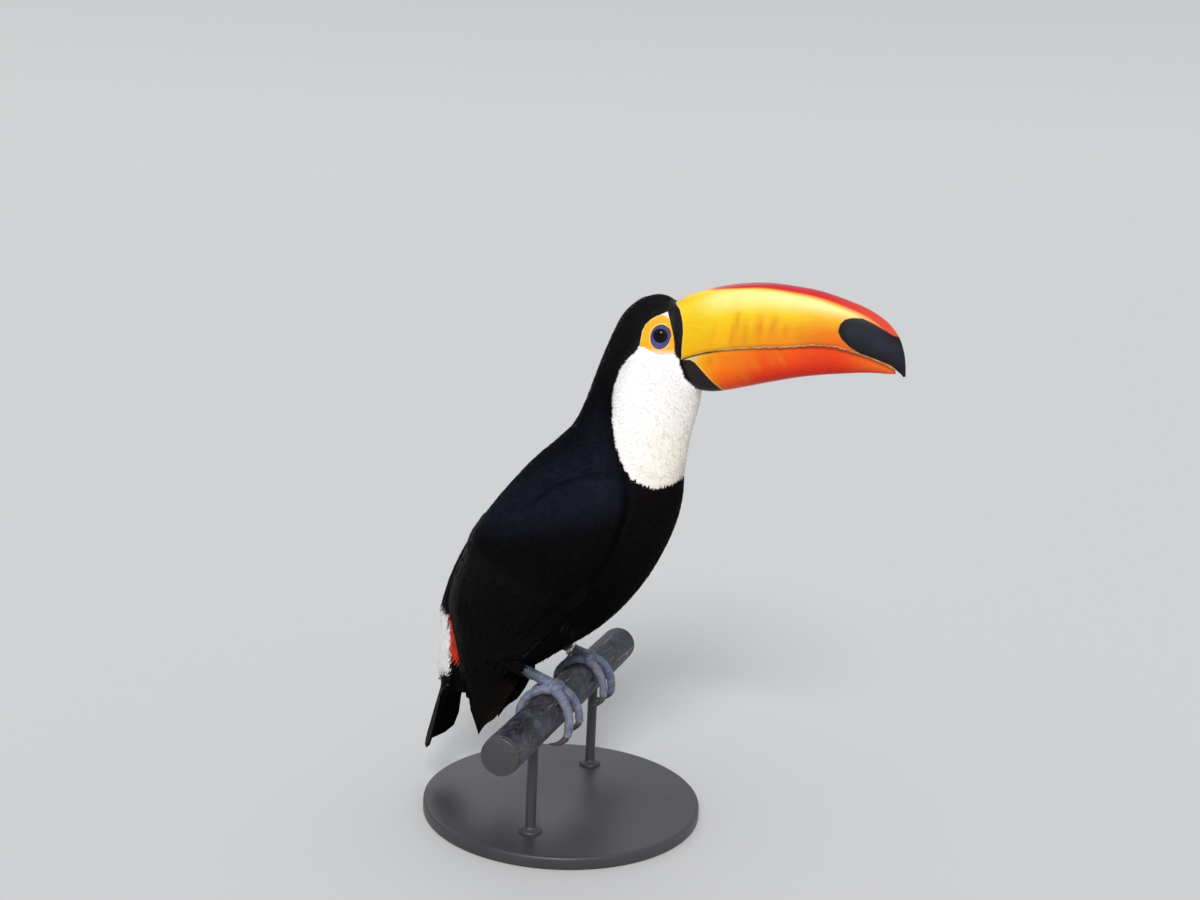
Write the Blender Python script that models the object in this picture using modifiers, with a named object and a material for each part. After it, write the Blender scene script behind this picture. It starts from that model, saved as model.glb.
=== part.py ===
"""A toco toucan at life size, standing still on a short cut of tube rail that a plain display stand holds up.

Frame: +X is where the bird faces, +Y its left side, +Z up. The origin is the centre of the stand's underside.
The bird's own sections are in millimetres, with heights measured from the top of the perch.
The bird is alike on both sides of the XZ plane, so one function makes both of each pair.
"""

from math import atan2, cos, pi, radians, sin, sqrt

import bmesh
import bpy
import numpy as np
from mathutils import Matrix, Vector

MM = 0.001
GAP = 0.3  # clearance between pieces that touch

# The stand and the perch, in millimetres
PERCH_TOP = 112.0
PERCH_RADIUS = 15.0
PERCH_LENGTH = 280.0
PLUG_THICKNESS = 3.0
BASE_RADIUS = 112.0
BASE_THICKNESS = 10.0
BASE_CHAMFER = 1.5
ROD_RADIUS = 4.0
ROD_PLACE = 72.0  # each rod's distance from the middle of the perch
PERCH_AXIS = -PERCH_RADIUS  # height of the perch's axis, from the perch's top

# The body's sections from the forehead to the vent: back (x, z), front (x, z), half width
BODY = [
    ((79, 303), (93, 251), 16),
    ((71, 310), (97, 240), 23.5),
    ((59, 312.5), (97, 230), 27),
    ((46.5, 307.5), (94, 218), 29.5),
    ((35.5, 296.5), (90.5, 204), 32),
    ((27.5, 278), (88.5, 189), 35),
    ((18.5, 254), (87.5, 173), 38.5),
    ((10, 227), (87.5, 156), 42.5),
    ((0, 201.5), (85, 137), 46.5),
    ((-28, 184), (76.5, 114), 49.5),
    ((-54, 154.5), (64.5, 89), 51),
    ((-77.5, 124), (47.5, 65), 50.5),
    ((-94.5, 92), (25, 41), 47),
    ((-107, 62), (-3, 23), 41),
    ((-110.5, 37), (-31, 2), 33),
    ((-111.5, 14), (-53, -14), 25),
    ((-111, -6), (-74, -24), 17),
    ((-110.5, -20), (-92, -29), 9),
]
BODY_SIDES = 12
CAGE_SWELL = 1 / (0.75 + 0.25 * cos(2 * pi / BODY_SIDES))  # Subdivision draws a ring in by this much
HEAD_CUT = 4.55  # where the head ends and the neck begins, counted along BODY
NECK_CUT = 7.6

# The bill's sections: ridge (x, z), cutting edge (x, z), half width
UPPER_BILL = [
    ((73, 304), (83, 263), 19.5),
    ((76, 306.8), (86, 265), 21),
    ((87, 313), (94, 268.5), 21.5),
    ((103.5, 318.4), (107, 272.5), 21.5),
    ((122, 322.5), (124, 276), 21),
    ((143, 324.5), (143.5, 278.5), 20),
    ((165.5, 323.3), (163, 280.3), 18.5),
    ((184, 320.8), (180, 282.6), 16.5),
    ((202, 316), (196, 282.8), 14),
    ((218.5, 310.2), (210, 280), 11.5),
    ((232.2, 302), (222.5, 276.3), 9),
    ((241, 292), (232.5, 272.5), 6.6),
    ((245.6, 281), (239.5, 269.3), 4.4),
    ((247.4, 271.5), (244, 266.3), 2.6),
    ((248, 264), (246.6, 263.4), 0.8),
]
LOWER_BILL = [
    ((91, 245), (83, 263), 18.5),
    ((97, 241.8), (87, 265.3), 20),
    ((107, 241.2), (94, 268.5), 20.5),
    ((119, 243.3), (107, 272.5), 20),
    ((133, 247.1), (124, 276), 19),
    ((151, 252.1), (143.5, 278.5), 17.5),
    ((170, 256.9), (163, 280.3), 15.5),
    ((186, 260), (180, 282.6), 13),
    ((201, 262.2), (196, 282.8), 10.5),
    ((215, 264), (210, 280), 8),
    ((226, 264.8), (222.5, 276.3), 5.8),
    ((235, 264.9), (232.5, 272.5), 3.6),
    ((241, 265.2), (239.5, 269.3), 1.6),
]
BILL_PARTING = 0.15  # half the line between the closed mandibles

EYE_CENTRE = (69.6, 20.0, 282)
EYE_RADIUS = 7.6

# The folded wing's sections in side view: lower edge (x, z), upper edge (x, z), lift above the body,
# depth in it, and towards the tip how free of the body it hangs, and how far from the middle
WING = [
    ((39, 174), (27, 179), 1.5, 3, 0, 0),
    ((50, 163), (5, 179), 4.5, 4, 0, 0),
    ((53, 145), (-17, 171), 5.5, 5, 0, 0),
    ((49, 124), (-39, 157), 5.5, 5, 0, 0),
    ((37, 100), (-60, 138), 5.5, 5, 0, 0),
    ((18, 74), (-77, 110), 5, 5, 0, 0),
    ((-2, 48), (-88, 82), 4.5, 4.5, 0, 0),
    ((-21, 25), (-88, 58), 4, 4, 0.1, 34),
    ((-35, 3), (-81, 31.5), 3.5, 3, 0.5, 32.5),
    ((-45, -16), (-80, 4), 3, 2, 0.9, 28.5),
    ((-53, -35), (-76, -23), 2, 1.5, 1, 24),
    ((-62, -54), (-71, -52), 1, 0.6, 1, 19.5),
]
WING_SPANS = 8

# The tail's sections: middle of its upper side (x, z), half width, how far its edges droop forward, thickness
TAIL = [
    ((-94, 25), 9, 2, 4),
    ((-100, 7), 13, 4, 5),
    ((-105.5, -13), 18, 7, 5),
    ((-110.5, -33), 23, 10, 4),
    ((-115.5, -53), 26, 12, 3),
    ((-118.5, -64), 25, 11.5, 2.4),
    ((-120.5, -70.5), 19, 8, 1.8),
    ((-121.3, -74.5), 7, 2, 1.2),
]
TAIL_SPANS = 8

# Legs. Each foot's toes close round the perch: two in front and two behind.
FOOT_PLACE = 40.0
PAD_ANGLE = 14.0  # how far in front of the perch's top the toes meet, in degrees round the perch
PAD_RADII = (6.6, 8.6, 5.6)
HEEL = (-31.0, 38.0, 17.5)
TARSUS_RADIUS = 4.2
THIGH_TOP = (2.0, 27.0, 48.0)
THIGH_END = (-30.0, 33.5, 19.5)
THIGH_RADII = (16.0, 10.5)
# forwards or backwards, sideways at the root and at the tip (outwards), the degrees round the perch
# at which the toe ends and its claw ends, radius, how far the toe's end stands off the perch
TOES = {
    "toe_front_outer": (1, 4.6, 15.0, 122, 164, 4.0, 6.5),
    "toe_front_inner": (1, -4.6, -10.0, 112, 152, 3.8, 6.0),
    "toe_rear_outer": (-1, 4.6, 13.0, 96, 138, 3.7, 2.0),
    "toe_rear_inner": (-1, -4.6, -10.0, 78, 118, 3.5, 1.5),
}
ROOT_STEP = 5.0  # degrees from the middle of the foot to where each toe starts
TOE_POINTS = 7
CLAW_POINTS = 5
CLAW_OFFSET = 4.0  # degrees round the perch between the end of a toe and its claw
RING_PLACE = 0.42  # along the tarsus, from the foot towards the heel
RING_RADIUS = 5.9
RING_WALL = 0.6
RING_WIDTH = 4.6

# colour, roughness, metallic
FINISHES = {
    "plumage_black": ((0.012, 0.012, 0.014), 0.6, 0.0),
    "plumage_white": ((0.85, 0.82, 0.76), 0.7, 0.0),
    "bill_orange": ((0.9, 0.42, 0.05), 0.35, 0.0),
    "bill_yellow": ((0.92, 0.66, 0.1), 0.35, 0.0),
    "eye": ((0.01, 0.008, 0.008), 0.08, 0.0),
    "leg_skin": ((0.28, 0.34, 0.45), 0.55, 0.0),
    "claw_horn": ((0.04, 0.035, 0.035), 0.4, 0.0),
    "ring_metal": ((0.75, 0.74, 0.7), 0.35, 1.0),
    "tube_steel": ((0.33, 0.34, 0.36), 0.55, 0.8),
    "stand_paint": ((0.05, 0.05, 0.055), 0.45, 0.0),
}


def clear_scene():
    for thing in list(bpy.data.objects):
        bpy.data.objects.remove(thing, do_unlink=True)


def new_collection(name):
    made = bpy.data.collections.new(name)
    bpy.context.scene.collection.children.link(made)
    return made


clear_scene()
PARTS = new_collection("toucan")
CUTTERS = new_collection("cutters")


def finish(name):
    """The material of that name, made once."""
    if name in bpy.data.materials:
        return bpy.data.materials[name]
    colour, roughness, metallic = FINISHES[name]
    material = bpy.data.materials.new(name)
    material.use_nodes = True
    shader = material.node_tree.nodes["Principled BSDF"]
    shader.inputs["Base Color"].default_value = (*colour, 1)
    shader.inputs["Roughness"].default_value = roughness
    shader.inputs["Metallic"].default_value = metallic
    return material


def lift(point):
    """A point in millimetres, with its height taken from the perch's top, as a place in metres."""
    x, y, z = point
    return Vector((x, y, z + PERCH_TOP)) * MM


def add_object(name, mesh, finish_name=None):
    """Puts a mesh in the model, or among the cutters where it has no finish."""
    thing = bpy.data.objects.new(name, mesh)
    if finish_name:
        PARTS.objects.link(thing)
        mesh.materials.append(finish(finish_name))
        mesh.shade_smooth()
        mesh.set_sharp_from_angle(angle=radians(50))
    else:
        CUTTERS.objects.link(thing)
        thing.hide_render = True
        thing.display_type = "WIRE"
    return thing


def mesh_from(build, name):
    """Runs build(bm) on an empty bmesh and gives the mesh, its faces pointing out."""
    bm = bmesh.new()
    build(bm)
    bmesh.ops.recalc_face_normals(bm, faces=bm.faces)
    mesh = bpy.data.meshes.new(name)
    bm.to_mesh(mesh)
    bm.free()
    return mesh


def loft(rings, name, quads=False):
    """A closed solid through rings of equally many points, in millimetres from the perch's top.

    Its sides are cut into triangles in one fixed way, so that a piece and its slightly larger cutter match.
    """

    def build(bm):
        rows = [[bm.verts.new(lift(point)) for point in ring] for ring in rings]
        for row, following in zip(rows, rows[1:]):
            for i in range(len(row)):
                j = (i + 1) % len(row)
                if quads:
                    bm.faces.new((row[i], row[j], following[j], following[i]))
                    continue
                bm.faces.new((row[i], row[j], following[j]))
                bm.faces.new((row[i], following[j], following[i]))
        bm.faces.new(rows[0])
        bm.faces.new(rows[-1])

    return mesh_from(build, name)


def ball(centre, radii, name, segments=12, rings=8):
    def build(bm):
        place = Matrix.LocRotScale(lift(centre), None, Vector(radii) * MM)
        bmesh.ops.create_uvsphere(bm, u_segments=segments, v_segments=rings, radius=1, matrix=place)

    return mesh_from(build, name)


def rod(start, end, radius, name, segments=24):
    """A round bar between two points."""

    def build(bm):
        a, b = lift(start), lift(end)
        turn = (b - a).to_track_quat("Z", "Y")
        place = Matrix.LocRotScale((a + b) / 2, turn, None)
        bmesh.ops.create_cone(bm, cap_ends=True, segments=segments, radius1=radius * MM,
                              radius2=radius * MM, depth=(b - a).length, matrix=place)

    return mesh_from(build, name)


def tube_mesh(points, radii, name, resolution=2):
    """A curve with a round bevel through the points, each with its own radius, turned into a closed mesh."""
    curve = bpy.data.curves.new(name, "CURVE")
    curve.dimensions = "3D"
    curve.bevel_depth = MM
    curve.bevel_resolution = resolution
    curve.use_fill_caps = True
    spline = curve.splines.new("POLY")
    spline.points.add(len(points) - 1)
    for knot, point, radius in zip(spline.points, points, radii):
        knot.co = (*lift(point), 1)
        knot.radius = radius
    guide = bpy.data.objects.new(name, curve)
    CUTTERS.objects.link(guide)
    bpy.context.view_layer.update()
    graph = bpy.context.evaluated_depsgraph_get()
    mesh = bpy.data.meshes.new_from_object(guide.evaluated_get(graph))
    bpy.data.objects.remove(guide)
    bm = bmesh.new()
    bm.from_mesh(mesh)
    bmesh.ops.remove_doubles(bm, verts=bm.verts, dist=1e-6)
    bmesh.ops.recalc_face_normals(bm, faces=bm.faces)
    bm.to_mesh(mesh)
    bm.free()
    return mesh


def cut(thing, cutter):
    """Takes the cutter's volume out of the object."""
    modifier = thing.modifiers.new(cutter.name, "BOOLEAN")
    modifier.operation = "DIFFERENCE"
    modifier.object = cutter


def mix(a, b, t):
    return tuple(p + (q - p) * t for p, q in zip(a, b))


def at_station(stations, place):
    """The section at a place counted along the list, between its neighbours."""
    i = min(int(place), len(stations) - 2)
    t = place - i
    (back_a, front_a, width_a), (back_b, front_b, width_b) = stations[i], stations[i + 1]
    return mix(back_a, back_b, t), mix(front_a, front_b, t), width_a + (width_b - width_a) * t


# The body: one cage from forehead to vent, parted into head, neck and trunk


def body_mesh():
    rings = []
    for back, front, width in BODY:
        middle = mix(back, front, 0.5)
        ring = []
        for k in range(BODY_SIDES):
            turn = 2 * pi * k / BODY_SIDES
            along, across = cos(turn) * CAGE_SWELL, sin(turn) * CAGE_SWELL
            ring.append((middle[0] + (back[0] - middle[0]) * along, width * across,
                         middle[1] + (back[1] - middle[1]) * along))
        rings.append(ring)
    return loft(rings, "body_cage", quads=True)


def body_piece(name, mesh, finish_name):
    piece = add_object(name, mesh.copy(), finish_name)
    smooth = piece.modifiers.new("smooth", "SUBSURF")
    smooth.levels = smooth.render_levels = 1
    return piece


def cutting_slab(place, towards_head, name):
    """A block that fills one side of the section at that place, and half a gap more."""
    back, front, _ = at_station(BODY, place)
    middle = Vector(mix(back, front, 0.5))
    span = Vector(back) - Vector(front)
    normal = Vector((-span.y, span.x)).normalized()
    if (normal.dot(Vector(BODY[1][0]) - middle) > 0) != towards_head:
        normal.negate()
    size = 400.0
    centre = middle + normal * (size / 2 - GAP / 2)

    def build(bm):
        turn = Matrix.Rotation(-atan2(normal.y, normal.x), 4, "Y")
        bmesh.ops.create_cube(bm, size=size * MM,
                              matrix=Matrix.Translation(lift((centre.x, 0, centre.y))) @ turn)

    return add_object(name, mesh_from(build, name))


def flank(x, z):
    """The point of the body's surface seen in side view at (x, z), on the +Y side, and its outward normal."""
    low, high = 0.0, len(BODY) - 1.0

    def beyond(place):
        back, front, _ = at_station(BODY, place)
        return (front[0] - back[0]) * (z - back[1]) - (front[1] - back[1]) * (x - back[0])

    sign = 1 if beyond(low) > 0 else -1
    for _ in range(40):
        middle = (low + high) / 2
        if beyond(middle) * sign > 0:
            low = middle
        else:
            high = middle
    back, front, width = at_station(BODY, (low + high) / 2)
    centre = Vector(mix(back, front, 0.5))
    half = (Vector(back) - Vector(front)) / 2
    along = (Vector((x, z)) - centre).dot(half) / half.length_squared
    along = max(-0.985, min(0.985, along))
    across = sqrt(1 - along * along)
    point = centre + half * along
    leaning = half.normalized() * (along / half.length)
    normal = Vector((leaning.x, across / width, leaning.y)).normalized()
    return Vector((point.x, width * across, point.y)), normal


# Wings


def wing_rings(side, grow=0.0):
    rings = []
    for lower, upper, rise, sunk, free, hang in WING:
        outer, inner = [], []
        reach = 1 + 2 * grow / (Vector(upper) - Vector(lower)).length
        for k in range(WING_SPANS + 1):
            v = 2 * k / WING_SPANS - 1
            spot = mix(lower, upper, (1 + v * reach) / 2)
            point, normal = flank(*spot)
            point = point.lerp(Vector((spot[0], hang, spot[1])), free)
            normal = normal.lerp(Vector((0, 1, 0)), free).normalized()
            full = sqrt(max(0.0, 1 - v**4))
            over = 0.8 + (rise - 0.8) * full + grow
            under = 0.3 + (sunk - 0.3) * full + grow
            outer.append(point + normal * over)
            inner.append(point - normal * under)
        ring = outer + inner[::-1]
        rings.append([(p.x, p.y * side, p.z) for p in ring])
    return lengthened(rings, grow)


def swollen(rings, grow):
    """The rings with each point moved outwards from its ring's middle, for a cutter round a full section."""
    wider = []
    for ring in rings:
        centre = sum((Vector(p) for p in ring), Vector()) / len(ring)
        wider.append([tuple(Vector(p) + (Vector(p) - centre).normalized() * grow) for p in ring])
    return wider


def lengthened(rings, grow):
    """The rings with the two end ones moved apart, for a cutter longer than its piece."""
    made = list(rings)
    for end, neighbour in ((0, 1), (-1, -2)):
        centre = sum((Vector(p) for p in rings[end]), Vector()) / len(rings[end])
        inner = sum((Vector(p) for p in rings[neighbour]), Vector()) / len(rings[neighbour])
        push = (centre - inner).normalized() * grow
        made[end] = [tuple(Vector(p) + push) for p in rings[end]]
    return made


# Tail


def tail_rings(grow=0.0):
    rings = []
    for k, ((x, z), width, droop, thick) in enumerate(TAIL):
        before, after = TAIL[max(k - 1, 0)][0], TAIL[min(k + 1, len(TAIL) - 1)][0]
        run = (Vector(after) - Vector(before)).normalized()
        forward = Vector((-run.y, run.x))
        if forward.x < 0:
            forward.negate()
        upper, lower = [], []
        for j in range(TAIL_SPANS + 1):
            v = 2 * j / TAIL_SPANS - 1
            body = 0.35 + 0.65 * sqrt(max(0.0, 1 - v**4))
            sag = droop * v * v
            top = Vector((x, z)) + forward * (sag - grow)
            under = Vector((x, z)) + forward * (sag + thick * body + grow)
            upper.append((top.x, (width + grow) * v, top.y))
            lower.append((under.x, (width + grow) * v, under.y))
        rings.append(upper + lower[::-1])
    return lengthened(rings, grow)


# Bill


def smooth_stations(stations, steps):
    """The section list with more sections between, on a curve through all of them (Catmull-Rom)."""
    rows = np.array([[*a, *b, w] for a, b, w in stations], float)
    padded = np.vstack([2 * rows[0] - rows[1], rows, 2 * rows[-1] - rows[-2]])
    made = []
    for i in range(len(rows) - 1):
        p0, p1, p2, p3 = padded[i : i + 4]
        for k in range(steps):
            t = k / steps
            made.append(0.5 * (2 * p1 + (p2 - p0) * t + (2 * p0 - 5 * p1 + 4 * p2 - p3) * t**2
                               + (3 * p1 - p0 - 3 * p2 + p3) * t**3))
    made.append(rows[-1])
    return made


def bill_rings(stations, flat_sides, grow=0.0):
    """Half-round sections from the cutting edge over the ridge and back. A higher flat_sides squares them."""
    rings = []
    arc = 10
    for x1, z1, x2, z2, width in smooth_stations(stations, 2):
        ridge, edge = Vector((x1, z1)), Vector((x2, z2))
        up = ridge - edge
        ring = []
        for k in range(arc + 1):
            turn = pi * k / arc
            height = sin(turn) ** flat_sides
            across = abs(cos(turn)) ** flat_sides * (1 if cos(turn) > 0 else -1)
            spot = edge + up.normalized() * (BILL_PARTING + (up.length - BILL_PARTING) * height)
            ring.append((spot.x, width * across, spot.y))
        ring.append((edge.x + up.normalized().x * BILL_PARTING, 0, edge.y + up.normalized().y * BILL_PARTING))
        rings.append(ring)
    return lengthened(swollen(rings, grow), grow)


# Legs


def around_perch(sign, angle, sideways, side, radius):
    """A point that far from the perch axis; the angle in degrees runs from the top over the front or back."""
    turn = radians(angle)
    return (sign * radius * sin(turn), side * (FOOT_PLACE + sideways), PERCH_AXIS + radius * cos(turn))


def toe_points(spec, side, claw):
    """The points along a toe, or along its claw, and the radius at each."""
    sign, root, tip, toe_end, claw_end, thick, off = spec
    points, radii = [], []
    if not claw:
        for k in range(TOE_POINTS):
            t = k / (TOE_POINTS - 1)
            slim = thick * (1 - 0.25 * t)
            angle = (sign * PAD_ANGLE + ROOT_STEP) * (1 - t) + toe_end * t
            reach = PERCH_RADIUS + GAP + slim + off * t**2.5
            points.append(around_perch(sign, angle, root + (tip - root) * t**0.8, side, reach))
            radii.append(slim)
        return points, radii
    start = toe_end + CLAW_OFFSET
    for k in range(CLAW_POINTS):
        t = k / (CLAW_POINTS - 1)
        slim = 0.62 * thick * (1 - t) ** 0.7 + 0.35
        reach = PERCH_RADIUS + GAP + 0.75 * thick + off - (0.3 * thick + 0.25 * off) * t * t
        points.append(around_perch(sign, start + (claw_end - start) * t, tip, side, reach))
        radii.append(slim)
    return points, radii


def leg(side, name_end, wing_cutter):
    """Thigh, tarsus, foot joint, toes and claws of one side."""
    heel = (HEEL[0], side * HEEL[1], HEEL[2])
    pad_centre = around_perch(1, PAD_ANGLE, 0, side, PERCH_RADIUS + GAP + PAD_RADII[2])
    run = Vector(heel) - Vector(pad_centre)

    add_object("foot_" + name_end, ball(pad_centre, PAD_RADII, "foot", 10, 6), "leg_skin")
    pad_grown = add_object("pad_cutter_" + name_end,
                           ball(pad_centre, [r + GAP for r in PAD_RADII], "pad_cutter", 10, 6))

    steps = [k / 6 for k in range(7)]
    line = [tuple(Vector(pad_centre) + run * t) for t in steps]
    swelling = [TARSUS_RADIUS * (1 + 0.18 * (2 * t - 1) ** 2) for t in steps]
    tarsus = add_object("tarsus_" + name_end, tube_mesh(line, swelling, "tarsus"), "leg_skin")
    cut(tarsus, pad_grown)
    beyond = tuple(Vector(heel) + run.normalized() * GAP)
    tarsus_grown = add_object("tarsus_cutter_" + name_end,
                              tube_mesh(line[:-1] + [beyond], [r + GAP for r in swelling], "tarsus_cutter"))

    top = (THIGH_TOP[0], side * THIGH_TOP[1], THIGH_TOP[2])
    end = (THIGH_END[0], side * THIGH_END[1], THIGH_END[2])
    thigh = add_object("thigh_" + name_end, thigh_mesh(top, end, 0.0), "plumage_black")
    thigh_grown = add_object("thigh_cutter_" + name_end, thigh_mesh(top, end, GAP))
    cut(thigh, tarsus_grown)
    cut(thigh, wing_cutter)

    for name, spec in TOES.items():
        points, radii = toe_points(spec, side, False)
        toe = add_object(f"{name}_{name_end}", tube_mesh(points, radii, name), "leg_skin")
        cut(toe, pad_grown)
        cut(toe, tarsus_grown)
        points, radii = toe_points(spec, side, True)
        add_object(f"claw_{name[4:]}_{name_end}", tube_mesh(points, radii, "claw", resolution=1), "claw_horn")
    return thigh_grown, tarsus_grown, heel, pad_centre


def thigh_mesh(top, end, grow):
    """A tapered drumstick with round ends."""
    start, stop = Vector(top), Vector(end)
    run = (stop - start).normalized()
    wide, slim = THIGH_RADII
    points, radii = [], []
    for angle in (80, 50, 20):
        points.append(tuple(start - run * wide * sin(radians(angle)) - run * grow))
        radii.append(wide * cos(radians(angle)) + grow)
    for t in (0.25, 0.5, 0.75):
        points.append(tuple(start.lerp(stop, t)))
        radii.append(wide + (slim - wide) * t + grow)
    for angle in (10, 40, 65, 82):
        points.append(tuple(stop + run * slim * sin(radians(angle)) + run * grow))
        radii.append(slim * cos(radians(angle)) + grow)
    return tube_mesh(points, radii, "thigh")


def leg_ring(pad_centre, heel):
    """The loose metal band on the left tarsus, hanging against its upper side."""
    run = Vector(heel) - Vector(pad_centre)
    along = run.normalized()
    hang = Vector((0, 0, -1)) - along * along.dot(Vector((0, 0, -1)))
    slack = RING_RADIUS - RING_WALL - TARSUS_RADIUS * 1.05 - GAP
    centre = Vector(pad_centre) + run * RING_PLACE + hang.normalized() * slack

    def build(bm):
        turn = along.to_track_quat("Z", "Y")
        place = Matrix.LocRotScale(lift(centre), turn, None)
        bmesh.ops.create_cone(bm, cap_ends=False, segments=16, radius1=RING_RADIUS * MM,
                              radius2=RING_RADIUS * MM, depth=RING_WIDTH * MM, matrix=place)

    ring = add_object("leg_ring", mesh_from(build, "leg_ring"), "ring_metal")
    wall = ring.modifiers.new("wall", "SOLIDIFY")
    wall.thickness = RING_WALL * MM
    wall.offset = -1
    return ring


# Perch and stand


def perch_and_stand():
    half = PERCH_LENGTH / 2
    add_object("perch", rod((0, -half, PERCH_AXIS), (0, half, PERCH_AXIS), PERCH_RADIUS, "perch", 32),
               "tube_steel")
    perch_grown = add_object(
        "perch_cutter", rod((0, -half - GAP, PERCH_AXIS), (0, half + GAP, PERCH_AXIS), PERCH_RADIUS + GAP,
                            "perch_cutter", 32))
    for side, name_end in ((1, "left"), (-1, "right")):
        inner, outer = side * (half + GAP), side * (half + GAP + PLUG_THICKNESS)
        plug = add_object("stand_plug_" + name_end,
                          rod((0, inner, PERCH_AXIS), (0, outer, PERCH_AXIS), PERCH_RADIUS - 0.5, "plug", 16),
                          "stand_paint")
        edge = plug.modifiers.new("edge", "BEVEL")
        edge.width = 1.0 * MM
        edge.segments = 1
        foot, head = -PERCH_TOP + BASE_THICKNESS + GAP, PERCH_AXIS - PERCH_RADIUS + 2
        post = add_object("stand_rod_" + name_end,
                          rod((0, side * ROD_PLACE, foot), (0, side * ROD_PLACE, head), ROD_RADIUS,
                              "rod", 12),
                          "stand_paint")
        cut(post, perch_grown)
    base = add_object("stand_base",
                      rod((0, 0, -PERCH_TOP), (0, 0, -PERCH_TOP + BASE_THICKNESS), BASE_RADIUS, "base", 36),
                      "stand_paint")
    edge = base.modifiers.new("edge", "BEVEL")
    edge.width = BASE_CHAMFER * MM
    edge.segments = 1


def build_bird():
    cage = body_mesh()
    head = body_piece("head", cage, "plumage_black")
    neck = body_piece("neck", cage, "plumage_white")
    trunk = body_piece("trunk", cage, "plumage_black")
    cut(head, cutting_slab(HEAD_CUT, False, "below_head"))
    cut(neck, cutting_slab(HEAD_CUT, True, "above_neck"))
    cut(neck, cutting_slab(NECK_CUT, False, "below_neck"))
    cut(trunk, cutting_slab(NECK_CUT, True, "above_trunk"))

    for name, stations, flat_sides, finish_name in (("bill_upper", UPPER_BILL, 0.8, "bill_yellow"),
                                                    ("bill_lower", LOWER_BILL, 0.75, "bill_orange")):
        add_object(name, loft(bill_rings(stations, flat_sides), name), finish_name)
        cut(head, add_object(name + "_cutter", loft(bill_rings(stations, flat_sides, GAP), name)))

    tail = add_object("tail", loft(tail_rings(), "tail"), "plumage_black")
    tail_cutter = add_object("tail_cutter", loft(tail_rings(GAP), "tail"))
    cut(trunk, tail_cutter)

    for side, name_end in ((1, "left"), (-1, "right")):
        centre = (EYE_CENTRE[0], side * EYE_CENTRE[1], EYE_CENTRE[2])
        add_object("eye_" + name_end, ball(centre, (EYE_RADIUS,) * 3, "eye"), "eye")
        cut(head, add_object("socket_" + name_end, ball(centre, (EYE_RADIUS + GAP,) * 3, "socket")))
        add_object("wing_" + name_end, loft(wing_rings(side), "wing"), "plumage_black")
        wing_cutter = add_object("wing_cutter_" + name_end, loft(wing_rings(side, 2 * GAP), "wing"))
        cut(trunk, wing_cutter)
        thigh_cutter, tarsus_cutter, heel, pad_centre = leg(side, name_end, wing_cutter)
        cut(trunk, thigh_cutter)
        cut(trunk, tarsus_cutter)
        if name_end == "left":
            leg_ring(pad_centre, heel)


perch_and_stand()
build_bird()
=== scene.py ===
"""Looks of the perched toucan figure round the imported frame: skin, feathers, bill, eyes, feet, perch, stand.

Lengths are in millimetres and heights are from the top of the perch, unless a name or comment says metres.
The bird faces +X and is alike on both sides of the XZ plane. Most things are made for one side and mirrored.
"""

from math import cos, pi, radians, sin

import bmesh
import bpy
import numpy as np
from mathutils import Matrix, Vector
from mathutils.bvhtree import BVHTree
from mathutils.kdtree import KDTree


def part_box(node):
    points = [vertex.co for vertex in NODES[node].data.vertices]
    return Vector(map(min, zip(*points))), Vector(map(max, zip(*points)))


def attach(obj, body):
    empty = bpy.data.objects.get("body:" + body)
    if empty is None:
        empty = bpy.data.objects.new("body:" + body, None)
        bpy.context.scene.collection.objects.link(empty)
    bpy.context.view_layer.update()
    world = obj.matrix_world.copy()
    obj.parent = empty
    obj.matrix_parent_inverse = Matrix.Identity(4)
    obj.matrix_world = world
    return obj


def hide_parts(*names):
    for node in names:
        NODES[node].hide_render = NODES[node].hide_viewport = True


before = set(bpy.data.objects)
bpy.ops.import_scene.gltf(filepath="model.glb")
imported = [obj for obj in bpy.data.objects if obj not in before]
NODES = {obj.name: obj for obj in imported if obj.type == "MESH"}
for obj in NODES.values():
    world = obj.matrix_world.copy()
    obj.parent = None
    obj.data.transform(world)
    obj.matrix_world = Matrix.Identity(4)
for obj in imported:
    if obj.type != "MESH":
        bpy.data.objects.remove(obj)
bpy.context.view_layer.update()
PERCH_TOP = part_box("perch")[1].z * 1000
RNG = np.random.default_rng(7)
UP = np.array([0, 0, 1.0])

# Camera: place in metres, then the turn from the bird's right side, the pitch and the roll in degrees
CAMERA_PLACE = (0.3657, -1.0843, 0.5155)
CAMERA_TURN = 17.7
CAMERA_PITCH = 10.77
CAMERA_ROLL = 2.57
CAMERA_LENS = 44.82

# The middle line of the head and body in side view (x, z), from the bill's base to the vent
SPINE = np.array([
    (86, 277), (84, 275), (78, 271), (70, 263), (63, 250), (58, 233), (53, 213), (48, 191), (40, 169),
    (23, 148), (4, 121), (-15, 94), (-35, 66), (-55, 42), (-71, 19), (-82, 0), (-92, -15), (-101, -25),
], float)

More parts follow.
